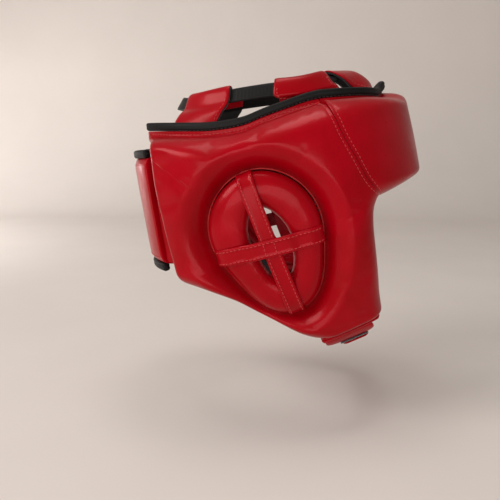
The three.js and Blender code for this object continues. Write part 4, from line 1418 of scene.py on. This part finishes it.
def add_chin_layer(name, layer, rooted, free_end, material, body, slot, node):
    mid, down = chin_grid(layer["ends"], chin_widths(rooted, free_end))
    near, far = layer["depths"]
    piece = slab(name, mid, down, near, far, MATERIALS[material])
    finish_piece(piece, body, slot, (node,))
    return piece, mid, down


def add_chin_closure():
    tab, strap = CHIN["tab"], CHIN["strap"]
    piece, mid, down = add_chin_layer("chin_tab_leather", tab, True, tab["ends"][1], "leather", "shell", "red_leather", "chin_tab")
    subdivide(piece)
    add_chin_layer("chin_tab_loop_patch", CHIN["loop"], False, None, "loop", "shell", "hook_and_loop", "chin_tab_loop")
    add_chin_layer(
        "chin_strap_hook_patch", CHIN["hook"], False, None, "hook", "chin_strap", "hook_and_loop", "chin_strap_hook"
    )
    piece, mid, down = add_chin_layer(
        "chin_strap_leather", strap, True, strap["ends"][0], "leather", "chin_strap", "red_leather", "chin_strap"
    )
    subdivide(piece)
    under = mid + down * strap["depths"][1]
    for column in (1, -2):
        THREAD.row("chin_strap", under[2:-6, column], down[2:-6, column])


def add_chin_band(side, word):
    """Two folded ridges of leather along the bottom of a cheek."""
    (front_y, front_z), (rear_y, rear_z) = EDGES["chin"]["points"]
    inside, outside, high = CHIN_BAND["inside"], CHIN_BAND["outside"], CHIN_BAND["high"]
    up = np.concatenate([np.linspace(0, -high, 17), np.linspace(-high, 0, 5)])
    ridge = np.abs(np.sin(np.linspace(0, 2 * math.pi, 17)))
    out = np.concatenate([outside - 1.6 + 1.6 * ridge**0.6, np.full(5, inside + 0.3)])
    share = np.linspace(0, 1, 34)
    size = 0.25 + 0.75 * np.sqrt(clip01(1 - (1 - clip01(np.minimum(share, 1 - share) * 14)) ** 2))
    rings = []
    for s, k in zip(share, size):
        y = np.full(len(up), mix(front_y, rear_y, s))
        z = mix(front_z, rear_z, s) - CHIN_BAND["gap"] + 0.3 + up * k
        rings.append(side_point(side, np.stack([y, z], axis=-1), inside + (out - inside) * k))
    bar(f"chin_band_{word}_fold", np.stack(rings), "leather", "shell", "red_leather", (f"chin_band_{word}",))


# ------------------------------------------------------------------ assembly

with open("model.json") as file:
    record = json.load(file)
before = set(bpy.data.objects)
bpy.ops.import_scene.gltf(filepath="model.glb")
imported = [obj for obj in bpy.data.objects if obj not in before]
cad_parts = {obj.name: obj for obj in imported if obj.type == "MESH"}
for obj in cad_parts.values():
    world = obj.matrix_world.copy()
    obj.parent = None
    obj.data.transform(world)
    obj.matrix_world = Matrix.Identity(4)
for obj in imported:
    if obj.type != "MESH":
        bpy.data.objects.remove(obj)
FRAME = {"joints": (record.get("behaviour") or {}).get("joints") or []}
CAD_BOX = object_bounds()

# PALE_RED colours the rim band: partly worn edge and partly painted highlight.
RED, DEEP_RED, PALE_RED = (0.345, 0.0002, 0.006), (0.285, 0.0001, 0.003), (0.52, 0.08, 0.07)
BLACK = (0.003, 0.0024, 0.0023)
MATERIALS = {
    "leather": leather_material("red_leather", RED, DEEP_RED, PALE_RED),
    # A lighter red copy of the leather for the ear opening's lip: partly pale raw edge, partly painted highlight.
    "edge": leather_material("red_leather_edge_and_highlight", (0.50, 0.035, 0.035), RED, PALE_RED),
    "binding": tape_material("black_binding", BLACK, 0.9, 0.015),
    "webbing": tape_material("black_webbing", BLACK, 1.5, 0.02),
    "lining": cloth_material("black_lining", (0.012, 0.012, 0.013)),
    "hook": fuzzy_material("hook_tape", BLACK),
    "loop": fuzzy_material("loop_tape", (0.012, 0.012, 0.013)),
    "red_thread": thread_material("red_thread", (0.37, 0.014, 0.016)),
    "black_thread": thread_material("black_thread", (0.015, 0.015, 0.016)),
}

add_camera()
add_lights()
add_stage()

for side, word in SIDES:
    panel = add_side_cover(side, word)
    add_side_lining(side, word)
    stitch_side_panel(side, word, panel)
    add_ear_ring(side, word)
    add_ear_piping(side, word)
    add_ear_straps(side, word)
    add_loop(f"front_{word}", LOOPS["front_side"], -side)
    add_loop(f"rear_{word}", LOOPS["rear_side"], -side)
    add_chin_band(side, word)
stitch_forehead(add_forehead())
add_top_binding()
add_webbing()
add_loop("front", LOOPS["front"], 1)
add_outer_flap()
add_inner_flap()
add_flap_hinge(FLAP["outer"], "rear_flap_outer", 3.2, 9.5, 0.1)
add_flap_hinge(FLAP["inner"], "rear_flap_inner", 2.4, 2.4, 0.08)
add_chin_closure()
add_threads(
    {
        "right": ("shell", "red_thread", "red_leather"),
        "left": ("shell", "red_thread", "red_leather"),
        "right_panel": ("shell", "red_thread", "red_leather"),
        "left_panel": ("shell", "red_thread", "red_leather"),
        "forehead": ("shell", "red_thread", "red_leather"),
        "loops": ("shell", "red_thread", "red_leather"),
        "binding": ("shell", "black_thread", "black_binding"),
        "rear_flap_outer": ("rear_flap_outer", "red_thread", "red_leather"),
        "chin_strap": ("chin_strap", "red_thread", "red_leather"),
    }
)

lows, highs = zip(CAD_BOX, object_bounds())
